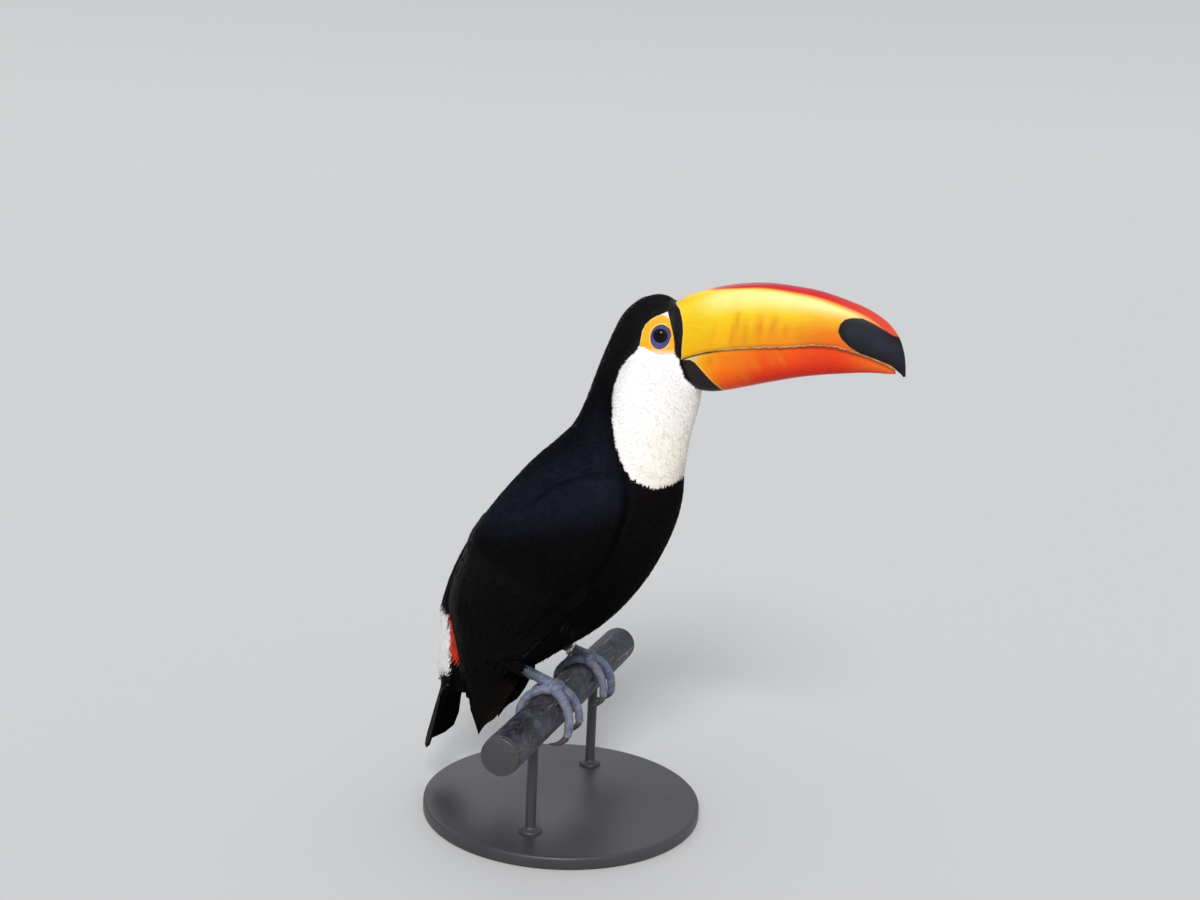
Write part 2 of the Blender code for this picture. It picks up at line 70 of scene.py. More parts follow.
# Markings in side view, as closed outlines (x, z)
RIM_BACK = [(73, 300), (74.2, 296.6), (76, 292.7), (78, 287.8), (79.9, 282.3), (81.3, 276.3)]
FACE = [
    (71.4, 299), (65.6, 296.4), (60.8, 293), (57.6, 289.3), (56, 285), (55.8, 280), (55.4, 276.2),
    (55.3, 273.9), (58.8, 273), (62.9, 271.3), (67.3, 269.2), (72.5, 268.4), (77.5, 269.2), (82.3, 269.4),
    *RIM_BACK[::-1],
]
# Where a whitish highlight is painted on the bare face, at the front of its top
FACE_HIGHLIGHT = [(67.6, 301), (77, 303), (78, 296.6), (75.4, 294.8), (72.6, 296.2), (69.6, 296.9)]
BASE_RIM = [
    *RIM_BACK, (82.5, 268.2), (85.1, 265.4), (86.6, 260), (88.7, 253.8), (90.5, 250), (92.8, 247.4),
    (99.6, 240), (130, 240), (130, 330), (73.6, 318), (71.6, 306), (72.6, 302),
]
BIB = [
    (58.8, 274), (55.2, 273.7), (53.1, 269.9), (48.6, 264.9), (44.6, 260.4), (41.6, 255.5), (39.4, 249),
    (38.1, 242.9), (37.9, 232), (39.9, 216), (44, 200.1), (48.5, 189.6), (53.2, 180.2), (58.9, 173.6),
    (66.6, 169.2), (74.8, 167.1), (82.9, 168.5), (86.5, 171.4), (89, 177.4), (130, 190), (130, 262),
    (88, 268), (83, 270),
]
RUMP_FRONT = [
    (-96.1, 45.1), (-93.6, 40.3), (-92.5, 33.8), (-91.7, 27.3), (-91.6, 21.4), (-91.8, 15.2), (-91.3, 8.1),
]
RUMP = [
    (-140, 45), *RUMP_FRONT, (-92.6, -1.2), (-96.3, -10), (-99.5, -19), (-103, -30), (-140, -40),
]
VENT_SIDE = [
    (-87.3, 40.4), (-81.2, 37.2), (-74, 30), (-74, 10), (-80, 4), (-84.2, 2.7), (-89, 5.7),
    *RUMP_FRONT[::-1],
]
VENT_UNDER = [(-72, 8), (-58, 6), (-54, -4), (-64, -13), (-88, -13), (-88, -8)]
# Where the plumage's black gets a painted blue sheen, over mantle and shoulders
MANTLE_SHEEN_AREA = [
    (-80, 124), (-60, 146), (-39, 163), (-10, 184), (14, 206), (26, 226), (36, 214), (42, 196), (50, 180),
    (54, 164), (52, 150), (30, 142), (0, 134), (-40, 122),
]
UNDER_BILL = [(77, 312), (76.5, 304), (86, 263), (94, 244), (130, 240), (130, 330)]
BILL_BAND = [
    (40, 330), (73.6, 312), (76.2, 305.5), (81.2, 301.9), (83.8, 296.6), (85.5, 291.2), (86.3, 285.2),
    (86.2, 279), (86.1, 273.8), (86.3, 268.2), (85.5, 262), (40, 262),
]
CHIN_PATCH = [
    (60, 265.4), (87, 265.1), (92.6, 265.7), (96.4, 264), (102.5, 257.9), (108.2, 251.8), (112.9, 247.1),
    (116, 243.5), (118, 236), (60, 236),
]
TIP_SPOT = [
    (199.2, 293.8), (199.4, 296.5), (200.3, 299.5), (203.1, 302.8), (208.2, 304.3), (215.4, 304.3),
    (223, 301.2), (232.8, 295.9), (238.1, 292.9), (262, 288), (262, 252), (246.5, 260), (242.2, 268),
    (236.8, 272.1), (226.1, 275.9), (215.5, 279.1), (207.8, 283.5), (201.7, 289.1),
]

# The bill's sections: ridge (x, z), cutting edge (x, z), half width
UPPER_BILL = [
    ((73, 304), (83, 263), 19.5),
    ((76, 306.8), (86, 265), 21),
    ((87, 313), (94, 268.5), 21.5),
    ((103.5, 318.4), (107, 272.5), 21.5),
    ((122, 322.5), (124, 276), 21),
    ((143, 324.5), (143.5, 278.5), 20),
    ((165.5, 323.3), (163, 280.3), 18.5),
    ((184, 320.8), (180, 282.6), 16.5),
    ((202, 316), (196, 282.8), 14),
    ((218.5, 310.2), (210, 280), 11.5),
    ((232.2, 302), (222.5, 276.3), 9),
    ((241, 292), (232.5, 272.5), 6.6),
    ((245.6, 281), (239.5, 269.3), 4.4),
    ((247.4, 271.5), (244, 266.3), 2.6),
    ((248, 264), (246.6, 263.4), 0.8),
]
LOWER_BILL = [
    ((91, 245), (83, 263), 18.5),
    ((97, 241.8), (87, 265.3), 20),
    ((107, 241.2), (94, 268.5), 20.5),
    ((119, 243.3), (107, 272.5), 20),
    ((133, 247.1), (124, 276), 19),
    ((151, 252.1), (143.5, 278.5), 17.5),
    ((170, 256.9), (163, 280.3), 15.5),
    ((186, 260), (180, 282.6), 13),
    ((201, 262.2), (196, 282.8), 10.5),
    ((215, 264), (210, 280), 8),
    ((226, 264.8), (222.5, 276.3), 5.8),
    ((235, 264.9), (232.5, 272.5), 3.6),
    ((241, 265.2), (239.5, 269.3), 1.6),
]
BILL_PARTING = 0.04

EYE = (69.6, 20.0, 282.0)
EYE_RADIUS = 7.6
LID_INNER = ((70.5, 282.4), (5.1, 5.0))  # middle, then half width and half height of the eye's opening
LID_OUTER = ((70.6, 281.4), (7.6, 9.2))

# The folded wing's lower and upper edge in side view, from the shoulder to the tip
WING = [
    ((39, 174), (27, 179)), ((50, 163), (5, 179)), ((53, 145), (-17, 171)), ((49, 124), (-39, 157)),
    ((37, 100), (-60, 138)), ((18, 74), (-77, 110)), ((-2, 48), (-88, 82)), ((-21, 25), (-88, 58)),
    ((-35, 3), (-81, 31.5)), ((-45, -16), (-80, 4)), ((-53, -35), (-76, -23)), ((-62, -54), (-71, -52)),
]

# Creases of the coat in side view, where the skin sinks and the black is darkened as painted shade: along the
# wing's front edge, and where the mantle meets its shoulder
WING_CREASE = np.array([
    (50.5, 178), (53.5, 168), (54.5, 158), (52.5, 141), (44, 115), (31, 95), (19, 77), (-2, 49), (-21, 26),
], float)
MANTLE_CREASE = np.array([(52, 174), (42, 177.5), (28, 176), (15, 171.5), (-3, 162), (-18, 149)], float)

# Legs, as in the solids. A toe is 1 for before the perch or -1 for behind it, the places of its root and tip
# beside the foot's middle, the degrees round the perch to its end and to its claw's end, its thickness, and
# how far its end lifts.
PERCH_RADIUS = 15.0
GAP = 0.3
FOOT_PLACE = 40.0
PAD_ANGLE = 14.0
PAD_HEIGHT = 5.6
HEEL = (-31.0, 38.0, 17.5)
TOES = {
    "front_outer": (1, 4.6, 15.0, 122, 164, 4.0, 6.5),
    "front_inner": (1, -4.6, -10.0, 112, 152, 3.8, 6.0),
    "rear_outer": (-1, 4.6, 13.0, 96, 138, 3.7, 2.0),
    "rear_inner": (-1, -4.6, -10.0, 78, 118, 3.5, 1.5),
}
CLAW_OFFSET = 2.0
FAR_TARSUS = np.array([-17.0, 39.0, 11.0])  # middle of the ringed leg, which the belly's tufts leave in view
SCUTE = 2.7  # length of the plates along the toes
RING_RADIUS = 5.9
RING_WALL = 0.6
RING_WIDTH = 4.6

# The coat at places along the spine, counted in the spine's points, as (place, value)
COAT_DEPTHS = ((0, 0.7), (3, 1.0), (5, 1.3), (8, 1.8), (10, 2.2), (14, 2.4), (17, 2.0))
TUFT_SPACINGS = ((0, 1.35), (3, 1.55), (5, 1.8), (8, 2.2), (10, 2.7), (14, 2.8), (17, 2.4))
TUFT_LENGTHS = ((0, 4.5), (3, 5.5), (5, 7), (8, 9), (10, 11.5), (14, 12.5), (17, 11))
TUFT_WIDTHS = ((0, 0.5), (3, 0.55), (5, 0.65), (8, 0.85), (10, 1.05), (14, 1.1), (17, 1.0))
TUFT_FANS = ((0, 0.26), (6, 0.28), (9, 0.34), (14, 0.38))
SHOULDER_END = 0.47  # share of the wing's length, from its shoulder, that tufts cover as they do the body
NAPE_RISE = 2.3  # how far the nape's tufts stand above the usual depth
GROUND_DEPTH = 0.7  # how far the dark ground under the large feathers lies inside the solids

# Colours, linear
BLACK = np.array([0.0032, 0.0031, 0.0036])
# The painted blue sheen, lighter and bluer than the black
MANTLE_SHEEN = np.array([0.0088, 0.0104, 0.0190])
BREAST = np.array([0.0042, 0.0032, 0.0030])
BELLY = np.array([0.0014, 0.0010, 0.0010])
NAPE = np.array([0.0078, 0.0074, 0.0080])
WHITE = np.array([0.955, 0.93, 0.925])
CREAM = np.array([0.95, 0.885, 0.79])
RED = np.array([0.60, 0.034, 0.008])
ORANGE = np.array([0.90, 0.40, 0.018])
BROWN = np.array([0.050, 0.030, 0.019])


# General helpers


def unit(vectors):
    return vectors / np.maximum(np.linalg.norm(vectors, axis=-1, keepdims=True), 1e-9)


def smooth_step(low, high, value):
    t = np.clip((value - low) / (high - low), 0, 1)
    return t * t * (3 - 2 * t)


def outside(points, outline):
    """Distance in side view of each (x, z) or (x, y, z) point from a closed outline, negative inside it."""
    points = points[:, [0, -1]]
    corners = np.array(outline, float)
    a, b = corners, np.roll(corners, -1, axis=0)
    span = b - a
    away = points[:, None] - a
    t = np.clip((away * span).sum(-1) / (span**2).sum(-1), 0, 1)
    distance = np.linalg.norm(away - span * t[..., None], axis=-1).min(1)
    crosses = (a[:, 1] > points[:, 1, None]) != (b[:, 1] > points[:, 1, None])
    rise = np.where(span[:, 1] == 0, 1e-9, span[:, 1])
    reach = a[:, 0] + (points[:, 1, None] - a[:, 1]) * span[:, 0] / rise
    inside = (crosses & (points[:, 0, None] < reach)).sum(1) % 2 == 1
    return np.where(inside, -distance, distance)


def to_metres(points):
    return (np.asarray(points, float) + UP * PERCH_TOP) / 1000


def add_piece(name, points, faces, finish, slot, replaced=(), tint=None, fields=None, maps=None, facing=None):
    """Makes a piece that rides on the figure. At each point it keeps a tint, numbers (fields) and the
    normal that it is lit by (facing), and at each corner a place on its flat maps."""
    faces = np.asarray(faces, np.int32)
    sides = faces.shape[1]
    mesh = bpy.data.meshes.new(name)
    mesh.vertices.add(len(points))
    mesh.vertices.foreach_set("co", to_metres(points).astype(np.float32).ravel())
    mesh.loops.add(faces.size)
    mesh.loops.foreach_set("vertex_index", faces.ravel())
    mesh.polygons.add(len(faces))
    mesh.polygons.foreach_set("loop_start", np.arange(0, faces.size, sides, dtype=np.int32))
    mesh.update(calc_edges=True)
    mesh.shade_smooth()
    if tint is not None:
        colours = np.column_stack([tint, np.ones(len(tint))]).astype(np.float32)
        mesh.color_attributes.new("tint", "FLOAT_COLOR", "POINT").data.foreach_set("color", colours.ravel())
    for label, values in (fields or {}).items():
        mesh.attributes.new(label, "FLOAT", "POINT").data.foreach_set("value", values.astype(np.float32))
    for label, corners in (maps or {}).items():
        mesh.uv_layers.new(name=label).data.foreach_set("uv", corners.astype(np.float32).ravel())
    if facing is not None:
        mesh.normals_split_custom_set_from_vertices(facing.tolist())
    mesh.materials.append(finish)
    piece = bpy.data.objects.new(name, mesh)
    bpy.context.scene.collection.objects.link(piece)
    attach(piece, "root")
    if replaced:
        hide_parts(*replaced)
    return piece


def grid_faces(rows, columns, round_columns=False):
    """Quads of a grid of points, its columns closed into a ring where asked."""
    last = columns if round_columns else columns - 1
    r, c = np.meshgrid(np.arange(rows - 1), np.arange(last), indexing="ij")
    r, c = r.ravel(), c.ravel()
    d = (c + 1) % columns
    return np.column_stack([r * columns + c, r * columns + d, (r + 1) * columns + d, (r + 1) * columns + c])


def halves(quads):
    return np.vstack([quads[:, [0, 1, 2]], quads[:, [0, 2, 3]]])


def loft(rings):
    """Points and triangles of a closed solid through rings of equally many points."""
    rings = np.asarray(rings, float)
    rows, columns = rings.shape[:2]
    points = np.vstack([rings.reshape(-1, 3), rings[0].mean(0), rings[-1].mean(0)])
    faces = halves(grid_faces(rows, columns, True))
    around = np.arange(columns)
    following = (around + 1) % columns
    start = np.column_stack([following, around, np.full(columns, rows * columns)])
    last = (rows - 1) * columns
    end = np.column_stack([last + around, last + following, np.full(columns, rows * columns + 1)])
    return points, np.vstack([faces, start, end])


def turned(centre, axis, profile, sides):
    """Rings of points: a profile of (distance along the axis, radius) turned round the axis."""
    axis = unit(np.asarray(axis, float))
    across = unit(np.cross(axis, UP if abs(axis[2]) < 0.9 else np.array([1.0, 0, 0])))
    third = np.cross(axis, across)
    angles = np.arange(sides) * 2 * pi / sides
    spokes = np.outer(np.cos(angles), across) + np.outer(np.sin(angles), third)
    return np.array([np.asarray(centre) + axis * along + spokes * radius for along, radius in profile])


def tube(line, radii, sides):
    """Rings of points round a line."""
    line = np.asarray(line, float)
    run = unit(np.gradient(line, axis=0))
    across = unit(np.cross(run, np.broadcast_to([0, 1.0, 0], run.shape)))
    third = np.cross(run, across)
    angles = np.arange(sides) * 2 * pi / sides
    return (line[:, None] + np.cos(angles)[None, :, None] * across[:, None] * np.asarray(radii)[:, None, None]
            + np.sin(angles)[None, :, None] * third[:, None] * np.asarray(radii)[:, None, None])


# Shapes taken from the frame


def box_of(name):
    """The low and the high corner of a node's box."""
    return [np.array(corner) * 1000 - UP * PERCH_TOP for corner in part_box(name)]


def solid_of(name):
    """A CAD solid as an editable mesh in metres, its corners joined."""
    bm = bmesh.new()
    bm.from_mesh(NODES[name].data)
    bmesh.ops.remove_doubles(bm, verts=bm.verts, dist=1e-6)
    return bm


def cut_off(bm, point, normal, before=False):
    """Cuts a solid at a plane, takes away what is beyond the plane, or before it, and closes the cut."""
    whole = bm.verts[:] + bm.edges[:] + bm.faces[:]
    cut = bmesh.ops.bisect_plane(bm, geom=whole, plane_co=Vector(to_metres(point)), plane_no=normal,
                                 clear_outer=not before, clear_inner=before)
    edges = [part for part in cut["geom_cut"] if isinstance(part, bmesh.types.BMEdge)]
    bmesh.ops.contextual_create(bm, geom=edges)


def fused(names, growth, voxel, rounds, trims=()):
    """One closed surface round copies of the CAD solids, grown and smoothed: its points and triangles. A
    trim is the start of the names that it cuts, a point and a normal."""
    bm = bmesh.new()
    for name in names:
        one = solid_of(name)
        for trimmed, point, normal in trims:
            if name.startswith(trimmed):
                cut_off(one, point, normal)
        one.normal_update()
        for vert in one.verts:
            vert.co += vert.normal * growth / 1000
        copy = bpy.data.meshes.new("copy")
        one.to_mesh(copy)
        one.free()
        bm.from_mesh(copy)
        bpy.data.meshes.remove(copy)
    mesh = bpy.data.meshes.new("fused")
    bm.to_mesh(mesh)
    bm.free()
    thing = bpy.data.objects.new("fused", mesh)
    bpy.context.scene.collection.objects.link(thing)
    remesh = thing.modifiers.new("remesh", "REMESH")
    remesh.mode = "VOXEL"
    remesh.voxel_size = voxel / 1000
    made = thing.evaluated_get(bpy.context.evaluated_depsgraph_get()).to_mesh()
    made.calc_loop_triangles()
    points = np.empty(len(made.vertices) * 3)
    made.vertices.foreach_get("co", points)
    faces = np.empty(len(made.loop_triangles) * 3, np.int32)
    made.loop_triangles.foreach_get("vertices", faces)
    bpy.data.objects.remove(thing)
    points = points.reshape(-1, 3) * 1000 - UP * PERCH_TOP
    faces = faces.reshape(-1, 3)
    return relaxed(points, faces, rounds), faces


def relaxed(points, faces, rounds):
    """The points drawn to their neighbours' middle and back out, which rounds off steps but keeps the
    size."""
    ends = np.vstack([faces[:, [0, 1]], faces[:, [1, 2]], faces[:, [2, 0]]])
    count = np.bincount(ends.ravel(), minlength=len(points))[:, None]
    for number in range(2 * rounds):
        total = np.zeros_like(points)
        np.add.at(total, ends[:, 0], points[ends[:, 1]])
        np.add.at(total, ends[:, 1], points[ends[:, 0]])
        pull = 0.6 if number % 2 == 0 else -0.57
        points = points + (total / count - points) * pull
    return points


def normals_of(points, faces):
    corners = points[faces]
    flat = np.cross(corners[:, 1] - corners[:, 0], corners[:, 2] - corners[:, 0])
    total = np.zeros_like(points)
    for k in range(3):
        np.add.at(total, faces[:, k], flat)
    return unit(total)


def evened(normals, faces, rounds):
    """Normals averaged with their neighbours' on the mesh, so that small bumps don't show in the shading."""
    for _ in range(rounds):
        total = np.zeros_like(normals)
        for a, b in ((0, 1), (1, 2), (2, 0)):
            np.add.at(total, faces[:, a], normals[faces[:, b]])
            np.add.at(total, faces[:, b], normals[faces[:, a]])
        normals = unit(total)
    return normals


def tree_of(points, faces):
    return BVHTree.FromPolygons(points.tolist(), faces.tolist())


def tree_of_nodes(*names):
    points, faces = [], []
    for name in names:
        mesh = NODES[name].data
        base = len(points)
        points += [tuple(Vector(v.co) * 1000 - Vector((0, 0, PERCH_TOP))) for v in mesh.vertices]
        faces += [[base + i for i in polygon.vertices] for polygon in mesh.polygons]
    return BVHTree.FromPolygons(points, faces)


def distance_to(tree, points, limit=60.0):
    """How far each point is from closed surfaces, negative inside them."""
    found = np.full(len(points), limit)
    for i, point in enumerate(points.tolist()):
        place, normal, _, distance = tree.find_nearest(point, limit)
        if place is None:
            continue
        within = (Vector(point) - place).dot(normal) < 0 and surrounded(tree, Vector(point))
        found[i] = -distance if within else distance
    return found


def surrounded(tree, spot):
    """Whether a point is inside closed surfaces: a ray from it crosses them an odd number of times."""
    way = Vector((0.31, 0.87, 0.38)).normalized()
    crossings = 0
    hit = tree.ray_cast(spot, way)[0]
    while hit is not None:
        crossings += 1
        hit = tree.ray_cast(hit + way * 1e-3, way)[0]
    return crossings % 2 == 1


# Places along the body


def along(line, points):
    """Each point's nearest spot in side view on a line, counted in the line's points, and its offset from
    there."""
    a, span = line[:-1], np.diff(line, axis=0)
    away = points[:, None, [0, -1]] - a
    t = np.clip((away * span).sum(-1) / (span**2).sum(-1), 0, 1)
    offset = away - span * t[..., None]
    nearest = np.linalg.norm(offset, axis=-1).argmin(1)
    rows = np.arange(len(points))
    return nearest + t[rows, nearest], offset[rows, nearest]


def along_spine(points):
    return along(SPINE, points)


def spine_way(place):
    """The spine's direction towards the tail at that place."""
    ways = unit(np.gradient(SPINE, axis=0))
    x = np.interp(place, np.arange(len(SPINE)), ways[:, 0])
    z = np.interp(place, np.arange(len(SPINE)), ways[:, 1])
    return unit(np.column_stack([x, z]))


def unwrap(points):
    """Places on a flat map of the skin: round the body one way, along it the other."""
    place, offset = along_spine(points)
    way = spine_way(place)
    back = offset[:, 0] * way[:, 1] - offset[:, 1] * way[:, 0]
    angle = np.arctan2(points[:, 1], back)
    return np.column_stack([0.5 + angle / (2 * pi) * 0.94, 0.03 + 0.94 * place / (len(SPINE) - 1)])


def graded(place, stops):
    """A number or a colour that changes with the place, from (place, value) stops."""
    places = [start for start, _ in stops]
    values = np.array([value for _, value in stops], float)
    if values.ndim == 1:
        return np.interp(place, places, values)
    return np.stack([np.interp(place, places, channel) for channel in values.T], -1)


def creased(points):
    """How near each point is to a crease of the coat, from 0 to 1 in it."""
    total = np.zeros(len(points))
    for line, strength in ((WING_CREASE, 1.0), (MANTLE_CREASE, 0.6)):
        away = np.linalg.norm(along(line, points)[1], axis=1)
        total = np.maximum(total, strength * np.exp(-((away / 2.1) ** 2)))
    return total * smooth_step(10, 16, np.abs(points[:, 1]))


def dark_plumage(points):
    """The plumage's black: a painted blue sheen over mantle and shoulders, brownish on the breast, deepest on
    the belly, painted shade in creases.
    """
    height = points[:, 2, None]
    # blue: how strongly the painted blue sheen lies on the black
    blue = smooth_step(14, -16, outside(points, MANTLE_SHEEN_AREA))[:, None]
    front = smooth_step(20, 60, points[:, 0, None]) * smooth_step(215, 180, height)
    colour = BLACK + (BREAST - BLACK) * front
    colour = colour + (BELLY - colour) * smooth_step(140, 50, height)
    colour = colour + (NAPE - colour) * smooth_step(215, 262, height)
    colour = colour + (MANTLE_SHEEN - colour) * blue
    # Painted shade: the black darkened by up to three quarters in the coat's creases
    return colour * (1 - 0.75 * creased(points))[:, None]


def plumage(points, jitter):
    """Colour of the plumage at each point. jitter shifts the edges of the markings, in millimetres."""
    height = points[:, 2, None]
    uneven = RNG.uniform(-1, 1, (len(points), 1))
    colour = dark_plumage(points) * (1 + 0.2 * uneven)
    warm = smooth_step(262, 185, height) * (0.3 + 0.7 * smooth_step(50, 82, points[:, 0, None]))
    pale = (WHITE + (CREAM - WHITE) * warm) * (1 - 0.012 * np.abs(uneven))
    colour = np.where((outside(points, BIB) + jitter < 0)[:, None], pale, colour)
    under = (outside(points, VENT_UNDER) + jitter < 0) & (np.abs(points[:, 1]) < 8)
    red = under | (outside(points, VENT_SIDE) + 2.2 * jitter < 0)
    colour = np.where(red[:, None], RED * (1 + 0.15 * uneven), colour)
    white = WHITE * (1 - 0.04 * np.abs(uneven))
    colour = np.where((outside(points, RUMP) + 2 * jitter < 0)[:, None], white, colour)
    return np.where((outside(points, BASE_RIM) < 0)[:, None], BREAST * 2.0, colour)


# Materials


class Finish:
    """The nodes of one material or world. Each method adds a node and gives back its output. It takes
    such outputs or plain values."""

    def __init__(self, owner, shader="Principled BSDF"):
        owner.use_nodes = True
        self.owner = owner
        self.tree = owner.node_tree
        self.sockets = self.tree.nodes[shader].inputs

    def step(self, kind, inputs, **settings):
        """The outputs of a new node, its settings made and its inputs linked or set."""
        made = self.tree.nodes.new("ShaderNode" + kind)
        for key, value in settings.items():
            setattr(made, key, value)
        for key, value in inputs.items():
            if isinstance(value, bpy.types.NodeSocket):
                self.tree.links.new(value, made.inputs[key])
            else:
                made.inputs[key].default_value = value
        return made.outputs

    def give(self, socket, value):
        self.tree.links.new(value, self.sockets[socket])

    def mixed(self, factor, a, b, how="MIX"):
        """The colour between a and b, where each is an output or a plain (r, g, b)."""
        sides = {6: a, 7: b}
        for key, value in sides.items():
            if not isinstance(value, bpy.types.NodeSocket):
                sides[key] = (*value, 1)
        return self.step("Mix", {0: factor, **sides}, data_type="RGBA", blend_type=how)[2]

    def marked(self, colour, *marks):
        """A colour with others laid over it, each (field, strength, colour)."""
        for label, strength, shade in marks:
            colour = self.mixed(self.times(self.field(label), strength), colour, shade)
        return colour

    def ranged(self, value, low, high, to_low=0.0, to_high=1.0):
        ends = {"From Min": low, "From Max": high, "To Min": to_low, "To Max": to_high}
        return self.step("MapRange", {"Value": value, **ends})["Result"]

    def calculated(self, how, a, b=0.0):
        return self.step("Math", {0: a, 1: b}, operation=how)[0]

    def plus(self, a, b):
        return self.calculated("ADD", a, b)

    def times(self, a, b):
        return self.calculated("MULTIPLY", a, b)

    def place(self):
        return self.step("TexCoord", {})["Object"]

    def noise(self, scale, detail=3, stretch=(1, 1, 1), roughness=0.5):
        """Noise over the object, where scale counts features in a metre."""
        where = self.step("Mapping", {"Vector": self.place(), "Scale": stretch})["Vector"]
        looks = {"Scale": scale, "Detail": detail, "Roughness": roughness}
        return self.step("TexNoise", {"Vector": where, **looks})[0]

    def cells(self, scale, feature="F1"):
        """Distance in irregular cells: from their middles or, with DISTANCE_TO_EDGE, from their edges."""
        return self.step("TexVoronoi", {"Vector": self.place(), "Scale": scale}, feature=feature)["Distance"]

    def field(self, label):
        """The number that each point of the piece keeps under that label."""
        return self.step("Attribute", {}, attribute_name=label)["Fac"]

    def tint(self):
        """The colour that each point of the piece keeps."""
        return self.step("Attribute", {}, attribute_name="tint")["Color"]

    def toned(self, tone):
        """The piece's kept colour, made lighter or darker by a number."""
        grey = self.step("CombineColor", {0: tone, 1: tone, 2: tone})[0]
        return self.mixed(1, self.tint(), grey, "MULTIPLY")

    def bump(self, height, strength, distance):
        made = self.step("Bump", {"Height": height, "Strength": strength, "Distance": distance / 1000})
        self.give("Normal", made["Normal"])


def surface(name, **sockets):
    """A new material's nodes, its shader's plain sockets set by name, with _ for a space."""
    made = Finish(bpy.data.materials.new(name))
    for key, value in sockets.items():
        made.sockets[key.replace("_", " ")].default_value = value
    return made


def coat_finish(name, roughness, specular, spread, sheen=0, sheen_tint=(1, 1, 1)):
    """Feather material: each tuft's own colour, with a little unevenness and fine barbs in the bump."""
    made = surface(name, Roughness=roughness, Sheen_Weight=sheen, Sheen_Roughness=0.45,
                   Sheen_Tint=(*sheen_tint, 1), Specular_IOR_Level=specular)
    made.give("Base Color", made.toned(made.ranged(made.noise(180, 4), 0.3, 0.7, 1 - spread, 1 + spread)))
    made.bump(made.noise(2600, 2), 0.18, 0.12)
    return made.owner


def vane_finish():
    """Material of the large feathers, with barbs slanting off the shaft on the map named vane."""
    made = surface("vane_black", Specular_IOR_Level=0.05)
    spot = made.step("SeparateXYZ", {"Vector": made.step("UVMap", {}, uv_map="vane")["UV"]})
    aside = made.calculated("ABSOLUTE", made.plus(spot["X"], -0.5))
    barbs = made.calculated("SINE", made.plus(made.times(spot["Y"], 260), made.times(aside, -70)))
    made.bump(made.plus(made.times(barbs, 0.4), made.times(made.noise(900), 1.2)), 0.2, 0.09)
    made.give("Base Color", made.toned(made.ranged(made.noise(120, 4), 0.3, 0.7, 0.8, 1.2)))
    made.give("Roughness", made.ranged(made.noise(260), 0.3, 0.7, 0.46, 0.62))
    return made.owner


def skin_finish():
    """Skin: feather colour under the coat, warty orange on the bare face, glossy black along the bill's
    base."""
    made = surface("skin", Specular_IOR_Level=0.14)
    bare = made.field("bare")
    freckle = made.ranged(made.noise(420, 4), 0.35, 0.7)
    ruddy = made.mixed(freckle, ORANGE, ORANGE * (0.96, 0.85, 0.8))
    made.give("Base Color", made.mixed(bare, made.tint(), ruddy))
    hard_skin = made.calculated("MAXIMUM", bare, made.field("gloss"))
    made.give("Roughness", made.ranged(hard_skin, 0, 1, 0.8, 0.4))
    made.bump(made.plus(made.cells(900), made.noise(500)), 0.3, 0.2)
    return made.owner


def lid_finish():
    """The blue ring round the eye: mottled, with painted shade in its fold and along the eye, and a dark line
    along its outer rim.
    """
    made = surface("eye_ring_blue", Roughness=0.42, Specular_IOR_Level=0.35)
    mottle = made.ranged(made.noise(700, 4), 0.3, 0.7)
    blue = made.mixed(mottle, (0.034, 0.030, 0.165), (0.076, 0.066, 0.27))
    # The crease field darkens the blue: painted shade along the eye and in the fold, and the dark line of the
    # outer rim
    made.give("Base Color", made.mixed(made.field("crease"), blue, (0.006, 0.005, 0.022)))
    made.bump(made.noise(1600), 0.35, 0.12)
    return made.owner


def face_finish():
    """Bare skin: golden orange with a thin pale line round the blue ring, whitish along its lower edge, and a
    whitish painted highlight at the front of its top."""
    made = surface("face_skin", Roughness=0.5, Specular_IOR_Level=0.2)
    freckle = made.ranged(made.noise(380, 4), 0.35, 0.7)
    colour = made.mixed(freckle, (0.86, 0.44, 0.010), (0.84, 0.34, 0.012))
    # The spot field paints a whitish highlight at the front of the face's top
    colour = made.marked(colour, ("verge", 0.95, (0.94, 0.72, 0.28)), ("rim", 0.85, (0.93, 0.68, 0.24)),
                         ("low", 0.85, (0.90, 0.66, 0.50)), ("spot", 1, (0.86, 0.76, 0.78)))
    made.give("Base Color", colour)
    made.bump(made.plus(made.cells(1300), made.noise(700)), 0.3, 0.15)
    return made.owner


def eye_finish():
    """Glossy eye: a black pupil, and an iris hardly lighter."""
    made = surface("eye_dark", Roughness=0.05, Specular_IOR_Level=0.16)
    beyond_pupil = made.ranged(made.field("pupil"), 2.9, 3.2)
    iris = made.mixed(made.ranged(made.noise(1500), 0.3, 0.7), (0.004, 0.0036, 0.005), (0.011, 0.008, 0.010))
    made.give("Base Color", made.mixed(beyond_pupil, (0.001, 0.001, 0.0013), iris))
    return made.owner


